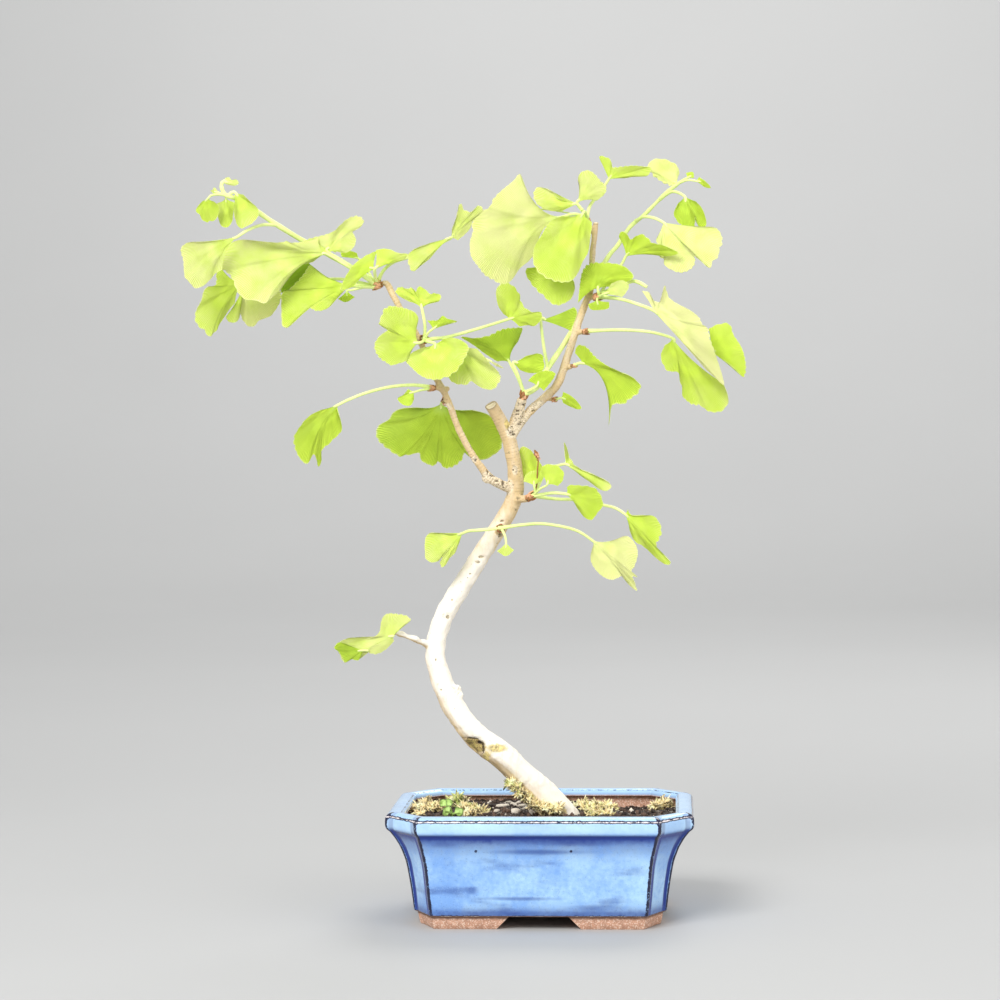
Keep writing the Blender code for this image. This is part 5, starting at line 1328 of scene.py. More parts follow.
def stone_coat(name, dark, light, grain_scale=700.0):
    """Grains whose tone is stored grain by grain."""
    coat = Coat(name)
    tone = coat.stored("tone")
    grain = coat.noise(grain_scale, 3.0)
    colour = coat.blend((tone + (grain - 0.5) * 0.7).between(0.0, 1.0), dark, light)
    return coat.finish(colour, 0.75 + grain * 0.15, grain, 0.0003)


def moss_coat(colours):
    """Dry moss from straw to green, with painted highlights and painted shade in random patches."""
    coat = Coat("Moss")
    tone = coat.stored("tone")
    grain = coat.noise(900.0, 3.0)
    patch = coat.noise(260.0, 3.0)
    colour = coat.blend((tone + (grain - 0.5) * 0.5).between(0.15, 0.9), colours.moss, colours.moss_green)
    # Painted highlights on lit clumps, in random patches.
    light = tint(colours.moss, 1.1, 0.2)
    colour = coat.blend(patch.between(0.54, 0.64) * 0.85, colour, light)
    # Painted shade in the gaps between clumps, in random patches.
    colour = coat.blend(patch.between(0.47, 0.38) * 0.85, colour, tint(colours.moss, 0.22))
    return coat.finish(colour, 0.75 + grain * 0.15, grain, 0.0001)


def weed_coat(colours):
    """Soft leaf, darker round its edge."""
    coat = Coat("Weed leaf")
    along = coat.chart("Y")
    grain = coat.noise(500.0, 3.0)
    light = tint(colours.weed, 2.0, 0.12)
    colour = coat.blend((grain * 1.2 - along * 0.35).between(0.1, 0.6), colours.weed, light)
    colour = coat.blend(along.between(0.8, 0.98) * 0.7, colour, tint(colours.weed, 0.35))
    return coat.finish(colour, 0.6 + grain * 0.2, grain, 0.0002)


def screen_coat():
    """Matt black plastic."""
    coat = Coat("Black mesh")
    grain = coat.noise(1500.0, 2.0)
    colour = coat.blend(grain, (0.02, 0.02, 0.02), (0.06, 0.06, 0.06))
    return coat.finish(colour, 0.45 + grain * 0.2, grain, 0.00005)


class GINKGO_OT_stage(bpy.types.Operator):
    """Camera at the picture's eye, a pale floor and soft studio light"""

    bl_idname = "ginkgo.stage"
    bl_label = "Stage"

    def execute(self, context):
        camera = bpy.data.objects.new("Camera", bpy.data.cameras.new("Camera"))
        context.scene.collection.objects.link(camera)
        camera.data.sensor_width = SENSOR
        camera.data.lens = SENSOR * SLOPE_UNITS / (2 * PICTURE_MIDDLE)
        camera.data.clip_start = 0.1
        turn = Matrix((VIEW_RIGHT, VIEW_UP, -VIEW_FORWARD)).transposed().to_4x4()
        camera.matrix_world = Matrix.Translation(EYE * MM + POT_MIDDLE) @ turn
        context.scene.camera = camera
        self.lay_floor()
        power = context.scene.ginkgo_sizes.light_power
        self.hang("Main light", (-0.6, -1.2, 1.2), 0.8, power)
        self.hang("Fill light", (1.3, -0.9, 0.6), 1.2, 0.35 * power)
        self.hang("Back light", (0.4, 1.1, 1.3), 0.8, 0.35 * power)
        self.hang("Wall light", (0.0, 2.5, 2.8), 2.5, 2.2 * power, (0.0, 4.2, 1.1))
        world = bpy.data.worlds.new("Studio")
        context.scene.world = world
        world.use_nodes = True
        context.scene.view_settings.view_transform = "Standard"
        sky = world.node_tree.nodes["Background"]
        sky.inputs["Color"].default_value = (0.98, 0.99, 1.0, 1.0)
        sky.inputs["Strength"].default_value = 0.64
        return {"FINISHED"}

    def lay_floor(self):
        """Pale floor that curves up behind the tree."""
        floor = add(bpy.ops.mesh.primitive_plane_add, size=8.0)
        bpy.ops.object.mode_set(mode="EDIT")
        bpy.ops.mesh.select_mode(type="EDGE")
        bpy.ops.mesh.select_all(action="DESELECT")
        form = bmesh.from_edit_mesh(floor.data)
        for edge in form.edges:
            edge.select = all(corner.co.y > 3.9 for corner in edge.verts)
        bmesh.update_edit_mesh(floor.data)
        bpy.ops.mesh.extrude_region_move(TRANSFORM_OT_translate={"value": (0.0, 0.0, 5.0)})
        bpy.ops.mesh.select_mode(type="VERT")
        bpy.ops.object.mode_set(mode="OBJECT")
        floor.name = "Floor"
        modify(floor, "BEVEL", width=1.8, segments=24, limit_method="ANGLE")
        make_smooth(floor)
        coat = Coat("Pale floor")
        cloud = coat.noise(3.0, 2.0)
        grey = coat.blend(cloud, (0.44, 0.44, 0.435), (0.465, 0.465, 0.46))
        floor.data.materials.append(coat.finish(grey, 0.7 + cloud * 0.1))

    def hang(self, name, spot, size, power, target=(0.0, 0.0, 0.2)):
        """Square area light aimed at a target, which is the tree's middle unless given."""
        light = bpy.data.lights.new(name, "AREA")
        light.size = size
        light.energy = power
        lamp = bpy.data.objects.new(name, light)
        bpy.context.scene.collection.objects.link(lamp)
        lamp.location = Vector(spot) + POT_MIDDLE
        aim = Vector(target) + POT_MIDDLE - lamp.location
        lamp.rotation_euler = aim.to_track_quat("-Z", "Y").to_euler()


class GINKGO_OT_pot(bpy.types.Operator):
    """Glazed pot with raised panels, a lip and bare feet"""

    bl_idname = "ginkgo.pot"
    bl_label = "Pot"

    def execute(self, context):
        rings, marks = [], []
        levels = smooth_path([level[:6] for level in POT_OUTSIDE], 2)
        extras = smooth_path([level[6:] for level in POT_OUTSIDE], 2)
        levels.extend(POT_INSIDE)
        extras.extend([None] * len(POT_INSIDE))
        for level, extra in zip(levels, extras):
            outline = pot_outline(*level[1:])
            rings.append(ring_at(level[0], outline))
            pool, thin = extra or (0.0, 0.0)
            sharp = min(1.0, level[5] / SHARP_STAND)
            for _, inner, outer in outline:
                deep = max(pool, CORNER_POOL * sharp * inner)
                marks.append((deep, max(thin, CORNER_THIN * sharp * outer), extra is None))
        pot = stack_rings("glazed_pot", rings)
        for column, name in enumerate(("pool", "thin", "bare")):
            note(pot, name, [mark[column] for mark in marks])
        tools = [
            block(UNDERSIDE, UNDERSIDE, BELOW_POT, ARCH_HEIGHT),
            block((FRONT_ARCH[0], PAST_POT), (FRONT_ARCH[1], PAST_POT), BELOW_POT, ARCH_HEIGHT + 0.05),
            block((PAST_POT, SIDE_ARCH[0]), (PAST_POT, SIDE_ARCH[1]), BELOW_POT, ARCH_HEIGHT + 0.1),
        ]
        for side in (-1, 1):
            drain = add(
                bpy.ops.mesh.primitive_cylinder_add, vertices=48, radius=DRAIN_RADIUS * MM, depth=0.03,
                location=POT_MIDDLE + Vector((side * DRAIN_SPACING * MM, 0.0, 0.008)))
            settle(drain)
            tools.append(drain)
        cut(pot, tools)
        make_smooth(pot, 32.0)
        pot.data.materials.append(glaze_coat(context.scene.ginkgo_colours))
        hand_over(pot, ["pot"])
        return {"FINISHED"}


def soil_height(x, y):
    """Height of the soil's surface, in millimetres, at a place in millimetres."""
    foot = (place(TRUNK[2]) - POT_MIDDLE) / MM
    mound = SOIL_MOUND * np.exp(-((x - foot.x) ** 2 + (y - foot.y) ** 2) / (2 * MOUND_SPREAD ** 2))
    away = ((x - HOLLOW_SPOT[0]) / HOLLOW_SPREAD[0]) ** 2 + ((y - HOLLOW_SPOT[1]) / HOLLOW_SPREAD[1]) ** 2
    hollow = SOIL_HOLLOW * np.exp(-away)
    lumps = 0.5 * np.sin(0.31 * x + 0.7) * np.cos(0.27 * y) + 0.3 * np.sin(0.57 * x - 0.49 * y)
    return SOIL_TOP + mound - hollow + lumps


def on_soil(across, down):
    """Place on the soil, in millimetres, that the viewer sees there."""
    near, far = (Vector((place((across, down, behind)) - POT_MIDDLE)) / MM for behind in (-60.0, 60.0))
    share = (SOIL_TOP - near.z) / (far.z - near.z)
    spot = near.lerp(far, share)
    return spot.x, spot.y


def copies(template, name, shapes, tones):
    """Copies of one small piece, each with its own mesh, points and tone, joined."""
    things = []
    for spots, tone in zip(shapes, tones):
        thing = template.copy()
        thing.data = template.data.copy()
        bpy.context.scene.collection.objects.link(thing)
        set_points(thing, spots * MM + np.array(POT_MIDDLE))
        note(thing, "tone", tone)
        things.append(thing)
    remove([template])
    piece = join(things, name)
    make_smooth(piece)
    return piece


def soil_spot(draw):
    """Random place on the soil, in millimetres."""
    while True:
        x, y = (draw.uniform(-half, half) for half in GRAIN_DRAW)
        room = (GRAIN_ROOM[0] - abs(x / GRAIN_EDGE), GRAIN_ROOM[1] - abs(y / GRAIN_EDGE))
        if min(room) > 0 and abs(x) + abs(y) < GRAIN_CORNER * GRAIN_EDGE:
            return x, y


class GINKGO_OT_soil(bpy.types.Operator):
    """Soil with crumbs and grit, over mesh squares on the drain holes"""

    bl_idname = "ginkgo.soil"
    bl_label = "Soil"

    def execute(self, context):
        colours = context.scene.ginkgo_colours
        draw = random.Random(SOIL_SEED)
        columns, rows = SOIL_GRID
        soil = add(bpy.ops.mesh.primitive_grid_add, x_subdivisions=columns, y_subdivisions=rows, size=2.0)
        spots = points_of(soil) * np.array(SOIL_SHEET)
        x, y = spots[:, 0], spots[:, 1]
        rough = sum(
            share * np.sin(x * a + 1.3 * np.sin(y * b) + c) * np.sin(y * a * 0.93 + 1.1 * np.sin(x * b) - c)
            for share, a, b, c in SOIL_WAVES)
        spots[:, 2] = soil_height(x, y) + rough
        set_points(soil, spots * MM + np.array(POT_MIDDLE))
        bpy.ops.object.mode_set(mode="EDIT")
        bpy.ops.mesh.select_all(action="SELECT")
        bpy.ops.mesh.extrude_region_move()
        form = bmesh.from_edit_mesh(soil.data)
        for corner in form.verts:
            if corner.select:
                corner.co.z = (SOIL_FLOOR - 2.0) * MM
        bpy.ops.mesh.select_all(action="SELECT")
        bpy.ops.mesh.normals_make_consistent(inside=False)
        bpy.ops.object.mode_set(mode="OBJECT")
        levels = list(POT_INSIDE[:1:-1])
        levels[0] = (SOIL_FLOOR, *levels[0][1:])
        levels.append((SOIL_TOP + 6.0, *levels[-1][1:]))
        mould = [
            ring_at(height, pot_outline(half_width - SOIL_GAP, half_depth - SOIL_GAP, *rest))
            for height, half_width, half_depth, *rest in levels
        ]
        cut(soil, [stack_rings("mould", mould)], "INTERSECT")
        soil.name = "potting_soil"
        make_smooth(soil, 50.0)
        soil.data.materials.append(soil_coat(colours))
        hand_over(soil, ["soil"])
        crumbs = self.scatter("soil_crumbs", draw, context.scene.ginkgo_sizes.crumbs, CRUMB_RADII)
        crumbs.data.materials.append(stone_coat("Soil crumb", colours.soil, tint(colours.soil, 6.0)))
        hand_over(crumbs)
        grit = self.scatter("soil_grit", draw, GRIT_COUNT, GRIT_RADII, PEBBLES)
        grit.data.materials.append(stone_coat("Pale grit", tint(colours.grit, 0.3), colours.grit))
        hand_over(grit)
        paint([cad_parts["drain_screen_" + side] for side in ("left", "right")], screen_coat())
        return {"FINISHED"}

    def scatter(self, name, draw, count, radii, pebbles=()):
        """Small stones half sunk in the soil, some of them at named places."""
        stone = add(bpy.ops.mesh.primitive_ico_sphere_add, subdivisions=1, radius=1.0)
        note(stone, "tone", 0.5)
        shape = points_of(stone)
        lumps = [(*soil_spot(draw), draw.uniform(*radii), 1.0, 0.7, draw.random()) for _ in range(count)]
        lumps.extend((*on_soil(across, down), *rest) for across, down, *rest in pebbles)
        shapes = []
        for x, y, radius, stretch, flat, _ in lumps:
            bend = 1 + 0.22 * np.sin(shape * draw.uniform(2.0, 4.0) + draw.uniform(0, 6)).sum(axis=1) / 2
            squash = np.array((stretch, draw.uniform(0.75, 1.1), flat * draw.uniform(0.8, 1.1)))
            tip = 0.5 if stretch > 1.0 else 6.0
            turn = Euler((draw.uniform(-tip, tip), draw.uniform(-tip, tip), draw.uniform(-tip, tip)))
            spots = (shape * bend[:, None] * squash) @ np.array(turn.to_matrix()) * radius
            shapes.append(spots + np.array((x, y, soil_height(x, y) + 0.35 * radius)))
        return copies(stone, name, shapes, [lump[-1] for lump in lumps])


class GINKGO_OT_moss(bpy.types.Operator):
    """Dry moss in tufts, some of them still green"""

    bl_idname = "ginkgo.moss"
    bl_label = "Moss"

    def execute(self, context):
        draw = random.Random(MOSS_SEED)
        length = context.scene.ginkgo_sizes.moss_length / MM
        corners = [(math.cos(angle), math.sin(angle)) for angle in (0.0, math.tau / 3, 2 * math.tau / 3)]
        strand = stack_rings("strand", [[(x * r, y * r, z) for x, y in corners] for z, r in STRAND_LEVELS])
        note(strand, "tone", 0.5)
        shape = points_of(strand)
        shapes, tones = [], []
        for across, down, behind, spread, high, green in MOSS_TUFTS:
            if behind is None:
                x, y = on_soil(across, down)
                foot = np.array((x, y, float(soil_height(x, y))))
            else:
                foot = np.array(place((across, down, behind)) - POT_MIDDLE) / MM
            for _ in range(STRANDS):
                angle, rise = draw.uniform(0, math.tau), draw.random()
                out = math.sqrt(draw.random()) * math.sqrt(max(0.0, 1 - 0.75 * rise * rise))
                way = np.array((math.cos(angle) * out, math.sin(angle) * out, rise))
                base = foot + way * (spread, spread, high * 0.8) - (0, 0, 0.4)
                lean = way * 0.6 + np.array([draw.uniform(-1, 1) for _ in range(3)])
                shapes.append(self.curl(shape, base, lean, length * draw.uniform(0.3, 0.6), draw))
                tones.append(min(1.0, max(0.0, green + draw.uniform(-0.3, 0.35))))
        moss = copies(strand, "moss", shapes, tones)
        colours = context.scene.ginkgo_colours
        moss.data.materials.append(moss_coat(colours))
        hand_over(moss)
        return {"FINISHED"}

    def curl(self, shape, base, lean, length, draw):
        """Points of one curled strand that starts at base and leans that way."""
        t = shape[:, 2:3]
        way = lean / max(0.2, float(np.linalg.norm(lean)))
        bend = np.array([draw.uniform(-1, 1) for _ in range(3)]) * 1.5
        thick = draw.uniform(*STRAND_THICK)
        side = np.cross(way, (0.3, 0.5, 0.8))
        side = side / max(0.1, float(np.linalg.norm(side)))
        section = shape[:, :1] * side + shape[:, 1:2] * np.cross(way, side) * STRAND_FLAT
        return base + (t * way + t * t * bend) * length + section * thick


class GINKGO_OT_trunk(bpy.types.Operator):
    """All the wood as one grown piece, with scars, rings and a wound"""

    bl_idname = "ginkgo.trunk"
    bl_label = "Trunk"

    def execute(self, context):
        sizes = context.scene.ginkgo_sizes
        paths = [
            (self.wood(TRUNK, 6), 0.0), (self.wood(LEFT_BRANCH, 4), YOUNG_BRANCH),
            (self.wood(LEADER, 4), YOUNG_LEADER),
        ]
        for name, points in SIDE_WOOD.items():
            paths.append((self.wood(points, 4), 0.0 if name in OLD_WOOD else YOUNG_SPUR))
        parts = [rod(*zip(*path), 6) for path, _ in paths]
        for across, down, behind, radius in SWELLINGS:
            parts.append(add(
                bpy.ops.mesh.primitive_uv_sphere_add, segments=32, ring_count=16, radius=radius * MM,
                location=place((across, down, behind))))
            settle(parts[-1])
        trunk = join(parts, "trunk_wood")
        modify(trunk, "REMESH", mode="VOXEL", voxel_size=sizes.bark_grain)
        modify(trunk, "SMOOTH", factor=0.5, iterations=5)
        self.dress(trunk, paths, sizes.bark_relief)
        make_smooth(trunk)
        trunk.data.materials.append(bark_coat(context.scene.ginkgo_colours))
        hand_over(trunk, ["trunk"])
        return {"FINISHED"}

    def wood(self, points, steps):
        """Points in space along a piece of wood, each with its radius in metres."""
        return [(place(point), point[3] / 2 * MM) for point in smooth_path(points, steps)]

    def follow(self, spots, paths):
        """How far along the nearest wood each point lies, and how young that wood is."""
        best = np.full(len(spots), np.inf)
        along = np.zeros(len(spots))
        young = np.zeros(len(spots))
        for path, youth in paths:
            travelled = 0.0
            for (start, r0), (end, r1) in zip(path, path[1:]):
                step = np.array(end - start)
                length = max(1e-9, float(np.linalg.norm(step)))
                share = np.clip((spots - np.array(start)) @ step / length ** 2, 0, 1)
                gap = np.linalg.norm(spots - np.array(start) - share[:, None] * step, axis=1)
                gap = gap - (r0 + (r1 - r0) * share)
                nearer = gap < best
                best = np.where(nearer, gap, best)
                along = np.where(nearer, travelled + share * length, along)
                young = np.where(nearer, youth, young)
                travelled += length
        return along, young

    def mark(self, spots, ovals, share):
        """How far each point lies in one of the picture's soft ovals, times its share."""
        across, down = seen(spots)
        amount = sum(np.exp(-((across - x) / w) ** 2 - ((down - y) / h) ** 2) for x, y, w, h in ovals)
        return np.clip(amount * share, 0, 1)

    def uneven(self, spots):
        """Low swells of the bark, and its finer lumps."""
        x, y, z = spots.T
        swells = np.sin(x * 900 + 2 * np.sin(z * 430)) * np.sin(y * 1000 + 1.5 * np.sin(z * 510)) * 0.5
        lumps = np.sin(x * 3100) * np.sin(z * 2700 + 2 * np.sin(y * 1900))
        return swells + np.sin(z * 620 + x * 310) * 0.35, lumps

    def saw(self, spots):
        """Flatten the two cut ends: the points, and how far each is face, rim and away from the heart."""
        sawn, rim, heart = (np.zeros(len(spots)) for _ in range(3))
        for points, reach in ((TRUNK, CUT_REACH), (LEADER, 0.5 * CUT_REACH)):
            centre = place(points[-1])
            forward = (centre - place(points[-2])).normalized()
            facing = np.array((forward * CUT_TILT[0] - VIEW_FORWARD * CUT_TILT[1]).normalized())
            away = spots - np.array(centre)
            close = np.linalg.norm(away, axis=1) < 2.2 * reach
            beyond = away @ facing - 0.12 * reach
            flat = close & (beyond > 0)
            spots = np.where(flat[:, None], spots - beyond[:, None] * facing, spots)
            sawn = np.maximum(sawn, flat * 1.0)
            rim = np.maximum(rim, close * np.exp(-(beyond / (0.12 * reach)) ** 2))
            heart = np.where(close, np.linalg.norm(spots - np.array(centre), axis=1) * 1000.0, heart)
        return spots, sawn, rim, heart

    def dress(self, trunk, paths, relief):
        """Lay relief on the bark, carve the marks, saw the ends and store what the bark's coat reads."""
        spots, normals = points_of(trunk), normals_of(trunk)
        along, young = self.follow(spots, paths)
        young = np.maximum(young, YOUNG_TOP * step_between(-seen(spots)[1], *YOUNG_DOWN))
        to_viewer = -(normals @ np.array(VIEW_FORWARD))
        front = step_between(to_viewer, 0.0, 0.4)
        open_side = step_between(to_viewer, -0.15, 0.1)
        wound = self.mark(spots, [WOUND], open_side)
        split = self.mark(spots, SPLITS, open_side)
        scar = self.mark(spots, SCARS, front)
        rough = self.mark(spots, ROUGH, front)
        stain = self.mark(spots, STAINS, front)
        # Painted shade: tan on the wood where it faces down and to the left.
        under = step_between(-normals[:, 2] - 0.25 * normals @ np.array(VIEW_RIGHT), 0.05, 0.75)
        rings = np.sin(along * math.tau / RING_PITCH + 1.5 * np.sin(along * 700.0)) * 0.5 + 0.5
        ring = rings ** 6 * young
        swells, lumps = self.uneven(spots)
        rise = relief * (swells * (1 - 0.5 * young) - 0.7 * ring + 1.1 * lumps * rough)
        rise = rise - WOUND_DEPTH * wound - SPLIT_DEPTH * split - SCAR_DEPTH * scar * (1 - young)
        spots, sawn, rim, heart = self.saw(spots + normals * rise[:, None])
        set_points(trunk, spots)
        stored = {
            "young": young, "ring": ring, "wound": wound, "scar": scar, "rough": rough, "stain": stain,
            "under": under, "split": split, "sawn": sawn, "rim": rim * (1 - sawn), "pith": heart,
        }
        for name, values in stored.items():
            note(trunk, name, values)


def margin_path(leaf, step):
    """Outer edge of a leaf through all its points, in pieces no longer than the step."""
    padded = [leaf.margin[0], *leaf.margin, leaf.margin[-1]]
    path = [leaf.margin[0]]
    for i, (start, end) in enumerate(zip(leaf.margin, leaf.margin[1:])):
        pieces = max(2, round(math.dist(start, end) / step))
        curve = smooth_path(padded[i:i + 4], pieces)
        path.extend(curve[pieces + 1:2 * pieces + 1])
    return np.array(path)


def leaf_axis(leaf):
    """Direction in the picture in which a leaf leaves its stalk."""
    if leaf.axis:
        return Vector(leaf.axis).normalized()
    end, before = leaf.stalk[-1], leaf.stalk[-2]
    return Vector((end[0] - before[0], end[1] - before[1])).normalized()


def evenly(path, count):
    """The path with that many pieces of equal length."""
    steps = np.linalg.norm(np.diff(path, axis=0), axis=1)
    travelled = np.concatenate(([0.0], np.cumsum(steps)))
    wanted = np.linspace(0, travelled[-1], count + 1)
    columns = [np.interp(wanted, travelled, path[:, k]) for k in range(path.shape[1])]
    return np.stack(columns, axis=1)


def edge_waves(u, span, draw):
    """Scallops and slower waves round a leaf's edge, at shares u of its length."""
    start = draw.uniform(0, 6.3)
    turns = u * span / SCALLOP + 0.9 * np.sin(u * span / 17.0 + start) + draw.uniform(0, 3)
    wave = np.abs(np.sin(turns * math.pi)) - 0.6
    wave = wave * (0.65 + 0.45 * np.sin(u * span / 13.0 + draw.uniform(0, 6.3)))
    return wave + 0.5 * np.sin(u * span / 7.0 + draw.uniform(0, 6.3))


def build_blade(leaf, draw, sizes):
    """Thin fan: ribs leave the stalk together and spread to a finely waved edge."""
    base = np.array(leaf.stalk[-1][:2], float)
    axis = np.array(leaf_axis(leaf))
    dense = margin_path(leaf, 2.0)
    span = float(np.linalg.norm(np.diff(dense, axis=0), axis=1).sum())
    columns = int(np.clip(span / LEAF_STEP, *LEAF_COLUMNS))
    reach = evenly(dense, columns) - base
    far = np.linalg.norm(reach, axis=1)
    rows = int(np.clip(far.max() / LEAF_ROW, *LEAF_ROWS))
    u = np.linspace(0.0, 1.0, columns + 1)
    s = np.linspace(0.02, 1.0, rows + 1)[:, None]
    wave = edge_waves(u, span, draw) * np.sin(np.pi * u) ** 0.4 / np.maximum(far, 6.0)
    deep = sizes.edge_wave / MM * UNITS_PER_MM * min(1.0, span / 90)
    reach = reach * (1 + deep * wave)[:, None]
    ripple = draw.uniform(0.0, math.tau)
    bow = draw.uniform(-0.04, 0.07) * far.mean() / UNITS_PER_MM
    blade = add(bpy.ops.mesh.primitive_grid_add, x_subdivisions=columns, y_subdivisions=rows, size=1.0)
    bent = 2 * leaf.pinch * s * (1 - s)
    straight = s ** 2 + (1 - 2 * leaf.pinch) * s * (1 - s)
    across = base[0] + axis[0] * bent * far + reach[:, 0] * straight
    down = base[1] + axis[1] * bent * far + reach[:, 1] * straight
    behind = leaf.stalk[-1][2] + leaf.lean[0] * (across - base[0]) + leaf.lean[1] * (down - base[1])
    waves = 0.32 * np.sin(math.tau * 2.6 * u + ripple) + 0.2 * np.sin(math.tau * 6.3 * u + 2 * ripple)
    behind = behind + (waves * min(1.0, span / 110) + leaf.curl * (u - 0.5)) * s ** 2
    behind = behind + bow * np.sin(np.pi * u) * np.sin(np.pi * s * 0.5)
    set_points(blade, place_all(across, down, behind).reshape(-1, 3))
    # The leaf's tone, its painted light and shade, for the leaf's coat.
    note(blade, "tone", leaf.tone + draw.uniform(-0.05, 0.05))
    note(blade, "span", span / UNITS_PER_MM)
    modify(blade, "SOLIDIFY", thickness=sizes.leaf_thickness, offset=0.0)
    return blade


def build_stalk(leaf, sizes):
    """Stalk that widens at its foot and runs into the blade's neck."""
    axis = leaf_axis(leaf) * STALK_SINK
    base = leaf.stalk[-1]
    behind = base[2] + leaf.lean[0] * axis.x + leaf.lean[1] * axis.y
    path = smooth_path([*leaf.stalk, (base[0] + axis.x, base[1] + axis.y, behind)], 6)
    size = max(math.dist(base[:2], edge) for edge in leaf.margin)
    thick = sizes.stalk_radius * (1.0 if size > SMALL_LEAF else 0.75)
    radii = []
    for t in np.linspace(0.0, 1.0, len(path)):
        foot = 0.35 * max(0.0, 0.12 - t) / 0.12
        end = 1.0 if t < 0.85 else (1.45 - t) / 0.6
        radii.append(thick * (1.0 + foot - 0.25 * t) * end)
    return rod([place(point) for point in path], radii)


def build_scale(draw):
    """Bud scale standing at the origin: a cupped leaflet, its foot down."""
    scale = add(bpy.ops.mesh.primitive_grid_add, x_subdivisions=6, y_subdivisions=6, size=1.0)
    spots = points_of(scale)
    u, v = spots[:, 0] * 2, spots[:, 1] + 0.5
    width = 0.44 * np.clip(1.02 - v, 0.01, 1) ** 0.7 * (1 + 0.7 * v)
    cup = 0.36 * (1 - (u * 0.9) ** 2) * (1 - 0.45 * v)
    spots = np.stack((u * width, -cup + 0.25 * v ** 2, v), axis=1)
    set_points(scale, spots)
    note(scale, "tone", draw.random())
    modify(scale, "SOLIDIFY", thickness=0.09, offset=0.0)
    return scale


def build_bud(foot, tip, knob, draw):
    """Heart of the bud and tiers of brown scales round its foot."""
    start, end = place(foot), place(tip)
    along = (end - start).normalized()
    radius = knob * MM
    heart = rod(
        [start + along * 0.0003, start.lerp(end, 0.5), end, end + along * 0.0006],
        [0.8 * radius, 0.95 * radius, 0.7 * radius, 0.25 * radius])
    scales = []
    side = along.orthogonal().normalized()
    for tier, (share, tilt, size) in enumerate(SCALE_TIERS):
        for k in range(SCALES_IN_TIER):
            scale = build_scale(draw)
            angle = math.tau * (k + 0.5 * tier + draw.uniform(-0.12, 0.12)) / SCALES_IN_TIER
            out = Matrix.Rotation(angle, 3, along) @ side
            up = (along + out * (tilt * draw.uniform(0.6, 1.3))).normalized()
            wide = up.cross(out).normalized()
            turn = Matrix((wide, up.cross(wide), up)).transposed().to_4x4()
            spot = start.lerp(end, share) + out * radius * 0.82
            grow = size * radius * draw.uniform(0.9, 1.2)
            scale.matrix_world = Matrix.Translation(spot) @ turn @ Matrix.Scale(grow, 4)
            settle(scale)
            scales.append(scale)
    return heart, scales


def build_thread(points):
    """Thin thread of even thickness."""
    return rod([place(point) for point in points], [THREAD_RADIUS * MM] * len(points), 2)


def build_shoot(points):
    """Green shoot that tapers to its end."""
    path = [place(point) for point in smooth_path(points, 5)]
    last = len(path) - 1
    return rod(path, [(1.5 - 0.7 * i / last + 0.08 * math.sin(i * 1.1)) * MM for i in range(last + 1)], 5)


def build_green(name, spray, draw, sizes, coats):
    """All the green of one bud as one piece."""
    blades = [build_blade(leaf, draw, sizes) for leaf in spray.leaves]
    stalks = [build_stalk(leaf, sizes) for leaf in spray.leaves]
    stalks.extend(build_shoot(points) for points in spray.shoots)
    stalks.extend(build_thread(smooth_path(points, 4)) for points in spray.threads)
    scales = []
    if spray.knob:
        heart, scales = build_bud(spray.bud, spray.tip, spray.knob, draw)
        stalks.append(heart)
    for stem, tip in spray.dried:
        heart, more = build_bud(stem[-1], tip, DRIED_KNOB, draw)
        scales.extend([heart, *more, build_thread(stem)])
    paint(blades, coats["leaf"])
    paint(stalks, coats["stalk"])
    paint(scales, coats["scale"])
    piece = join(blades + stalks + scales, name + "_foliage")
    make_smooth(piece, 60.0)
    return piece


class GINKGO_OT_leaves(bpy.types.Operator):
    """Leaves, stalks, shoots and bud scales, one piece for each bud"""

    bl_idname = "ginkgo.leaves"
    bl_label = "Leaves"

    def execute(self, context):
        colours = context.scene.ginkgo_colours
        coats = {"leaf": leaf_coat(colours), "stalk": stalk_coat(colours), "scale": scale_coat(colours)}
        draw = random.Random(LEAF_SEED)
        for name, spray in SPRAYS.items():
            piece = build_green(name, spray, draw, context.scene.ginkgo_sizes, coats)
            hand_over(piece, [name])
        return {"FINISHED"}


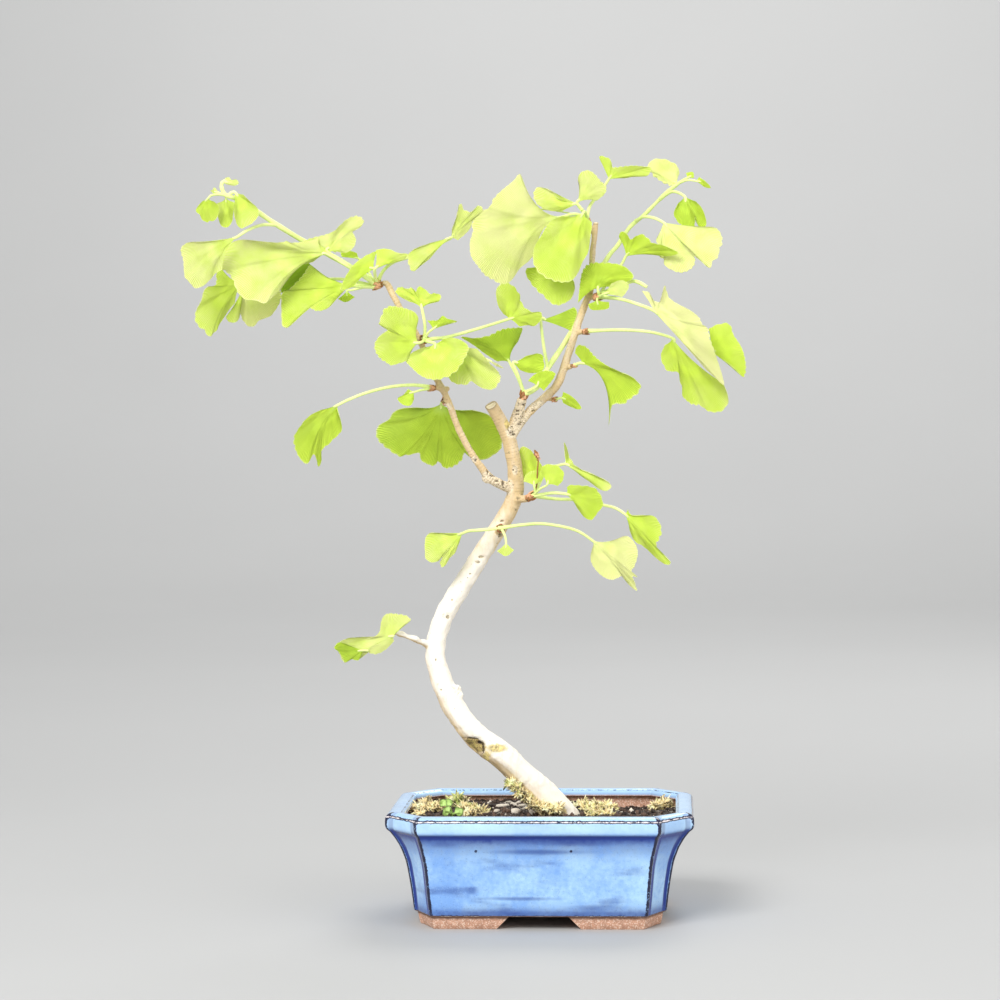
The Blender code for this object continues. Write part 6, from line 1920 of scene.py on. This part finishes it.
class GINKGO_OT_seedling(bpy.types.Operator):
    """Small weed with round leaves at the left of the soil"""

    bl_idname = "ginkgo.seedling"
    bl_label = "Seedling"

    def execute(self, context):
        colours = context.scene.ginkgo_colours
        coat = weed_coat(colours)
        draw = random.Random(WEED_SEED)
        coats = {"leaf": coat, "stalk": coat, "scale": coat}
        piece = build_green("seedling", SEEDLING, draw, context.scene.ginkgo_sizes, coats)
        stem = rod([place(point) for point in SEEDLING_STEM], [point[3] / 2 * MM for point in SEEDLING_STEM])
        paint([stem], coat)
        piece = join([piece, stem], "seedling_plant")
        hand_over(piece, ["seedling"])
        return {"FINISHED"}


class GINKGO_PT_panel(bpy.types.Panel):
    """Lists the pieces in the sidebar"""

    bl_idname = "GINKGO_PT_panel"
    bl_label = "Ginkgo bonsai"
    bl_space_type = "VIEW_3D"
    bl_region_type = "UI"
    bl_category = "Bonsai"

    def draw(self, context):
        for piece in PIECES:
            self.layout.operator(piece.bl_idname)
        for group in (context.scene.ginkgo_sizes, context.scene.ginkgo_colours):
            for name in group.__annotations__:
                self.layout.prop(group, name)


PIECES = (
    GINKGO_OT_stage, GINKGO_OT_pot, GINKGO_OT_soil, GINKGO_OT_moss, GINKGO_OT_trunk, GINKGO_OT_leaves,
    GINKGO_OT_seedling,
)
CLASSES = (GinkgoSizes, GinkgoColours, *PIECES, GINKGO_PT_panel)


def register():
    """Make the properties, operators and panel known."""
    for kind in CLASSES:
        bpy.utils.register_class(kind)
    bpy.types.Scene.ginkgo_sizes = PointerProperty(type=GinkgoSizes)
    bpy.types.Scene.ginkgo_colours = PointerProperty(type=GinkgoColours)


def unregister():
    """Take them back."""
    del bpy.types.Scene.ginkgo_colours
    del bpy.types.Scene.ginkgo_sizes
    for kind in reversed(CLASSES):
        bpy.utils.unregister_class(kind)


def main():
    """Make every piece."""
    register()
    bpy.ops.ginkgo.stage()
    bpy.ops.ginkgo.pot()
    bpy.ops.ginkgo.soil()
    bpy.ops.ginkgo.moss()
    bpy.ops.ginkgo.trunk()
    bpy.ops.ginkgo.leaves()
    bpy.ops.ginkgo.seedling()


if __name__ == "__main__":
    main()
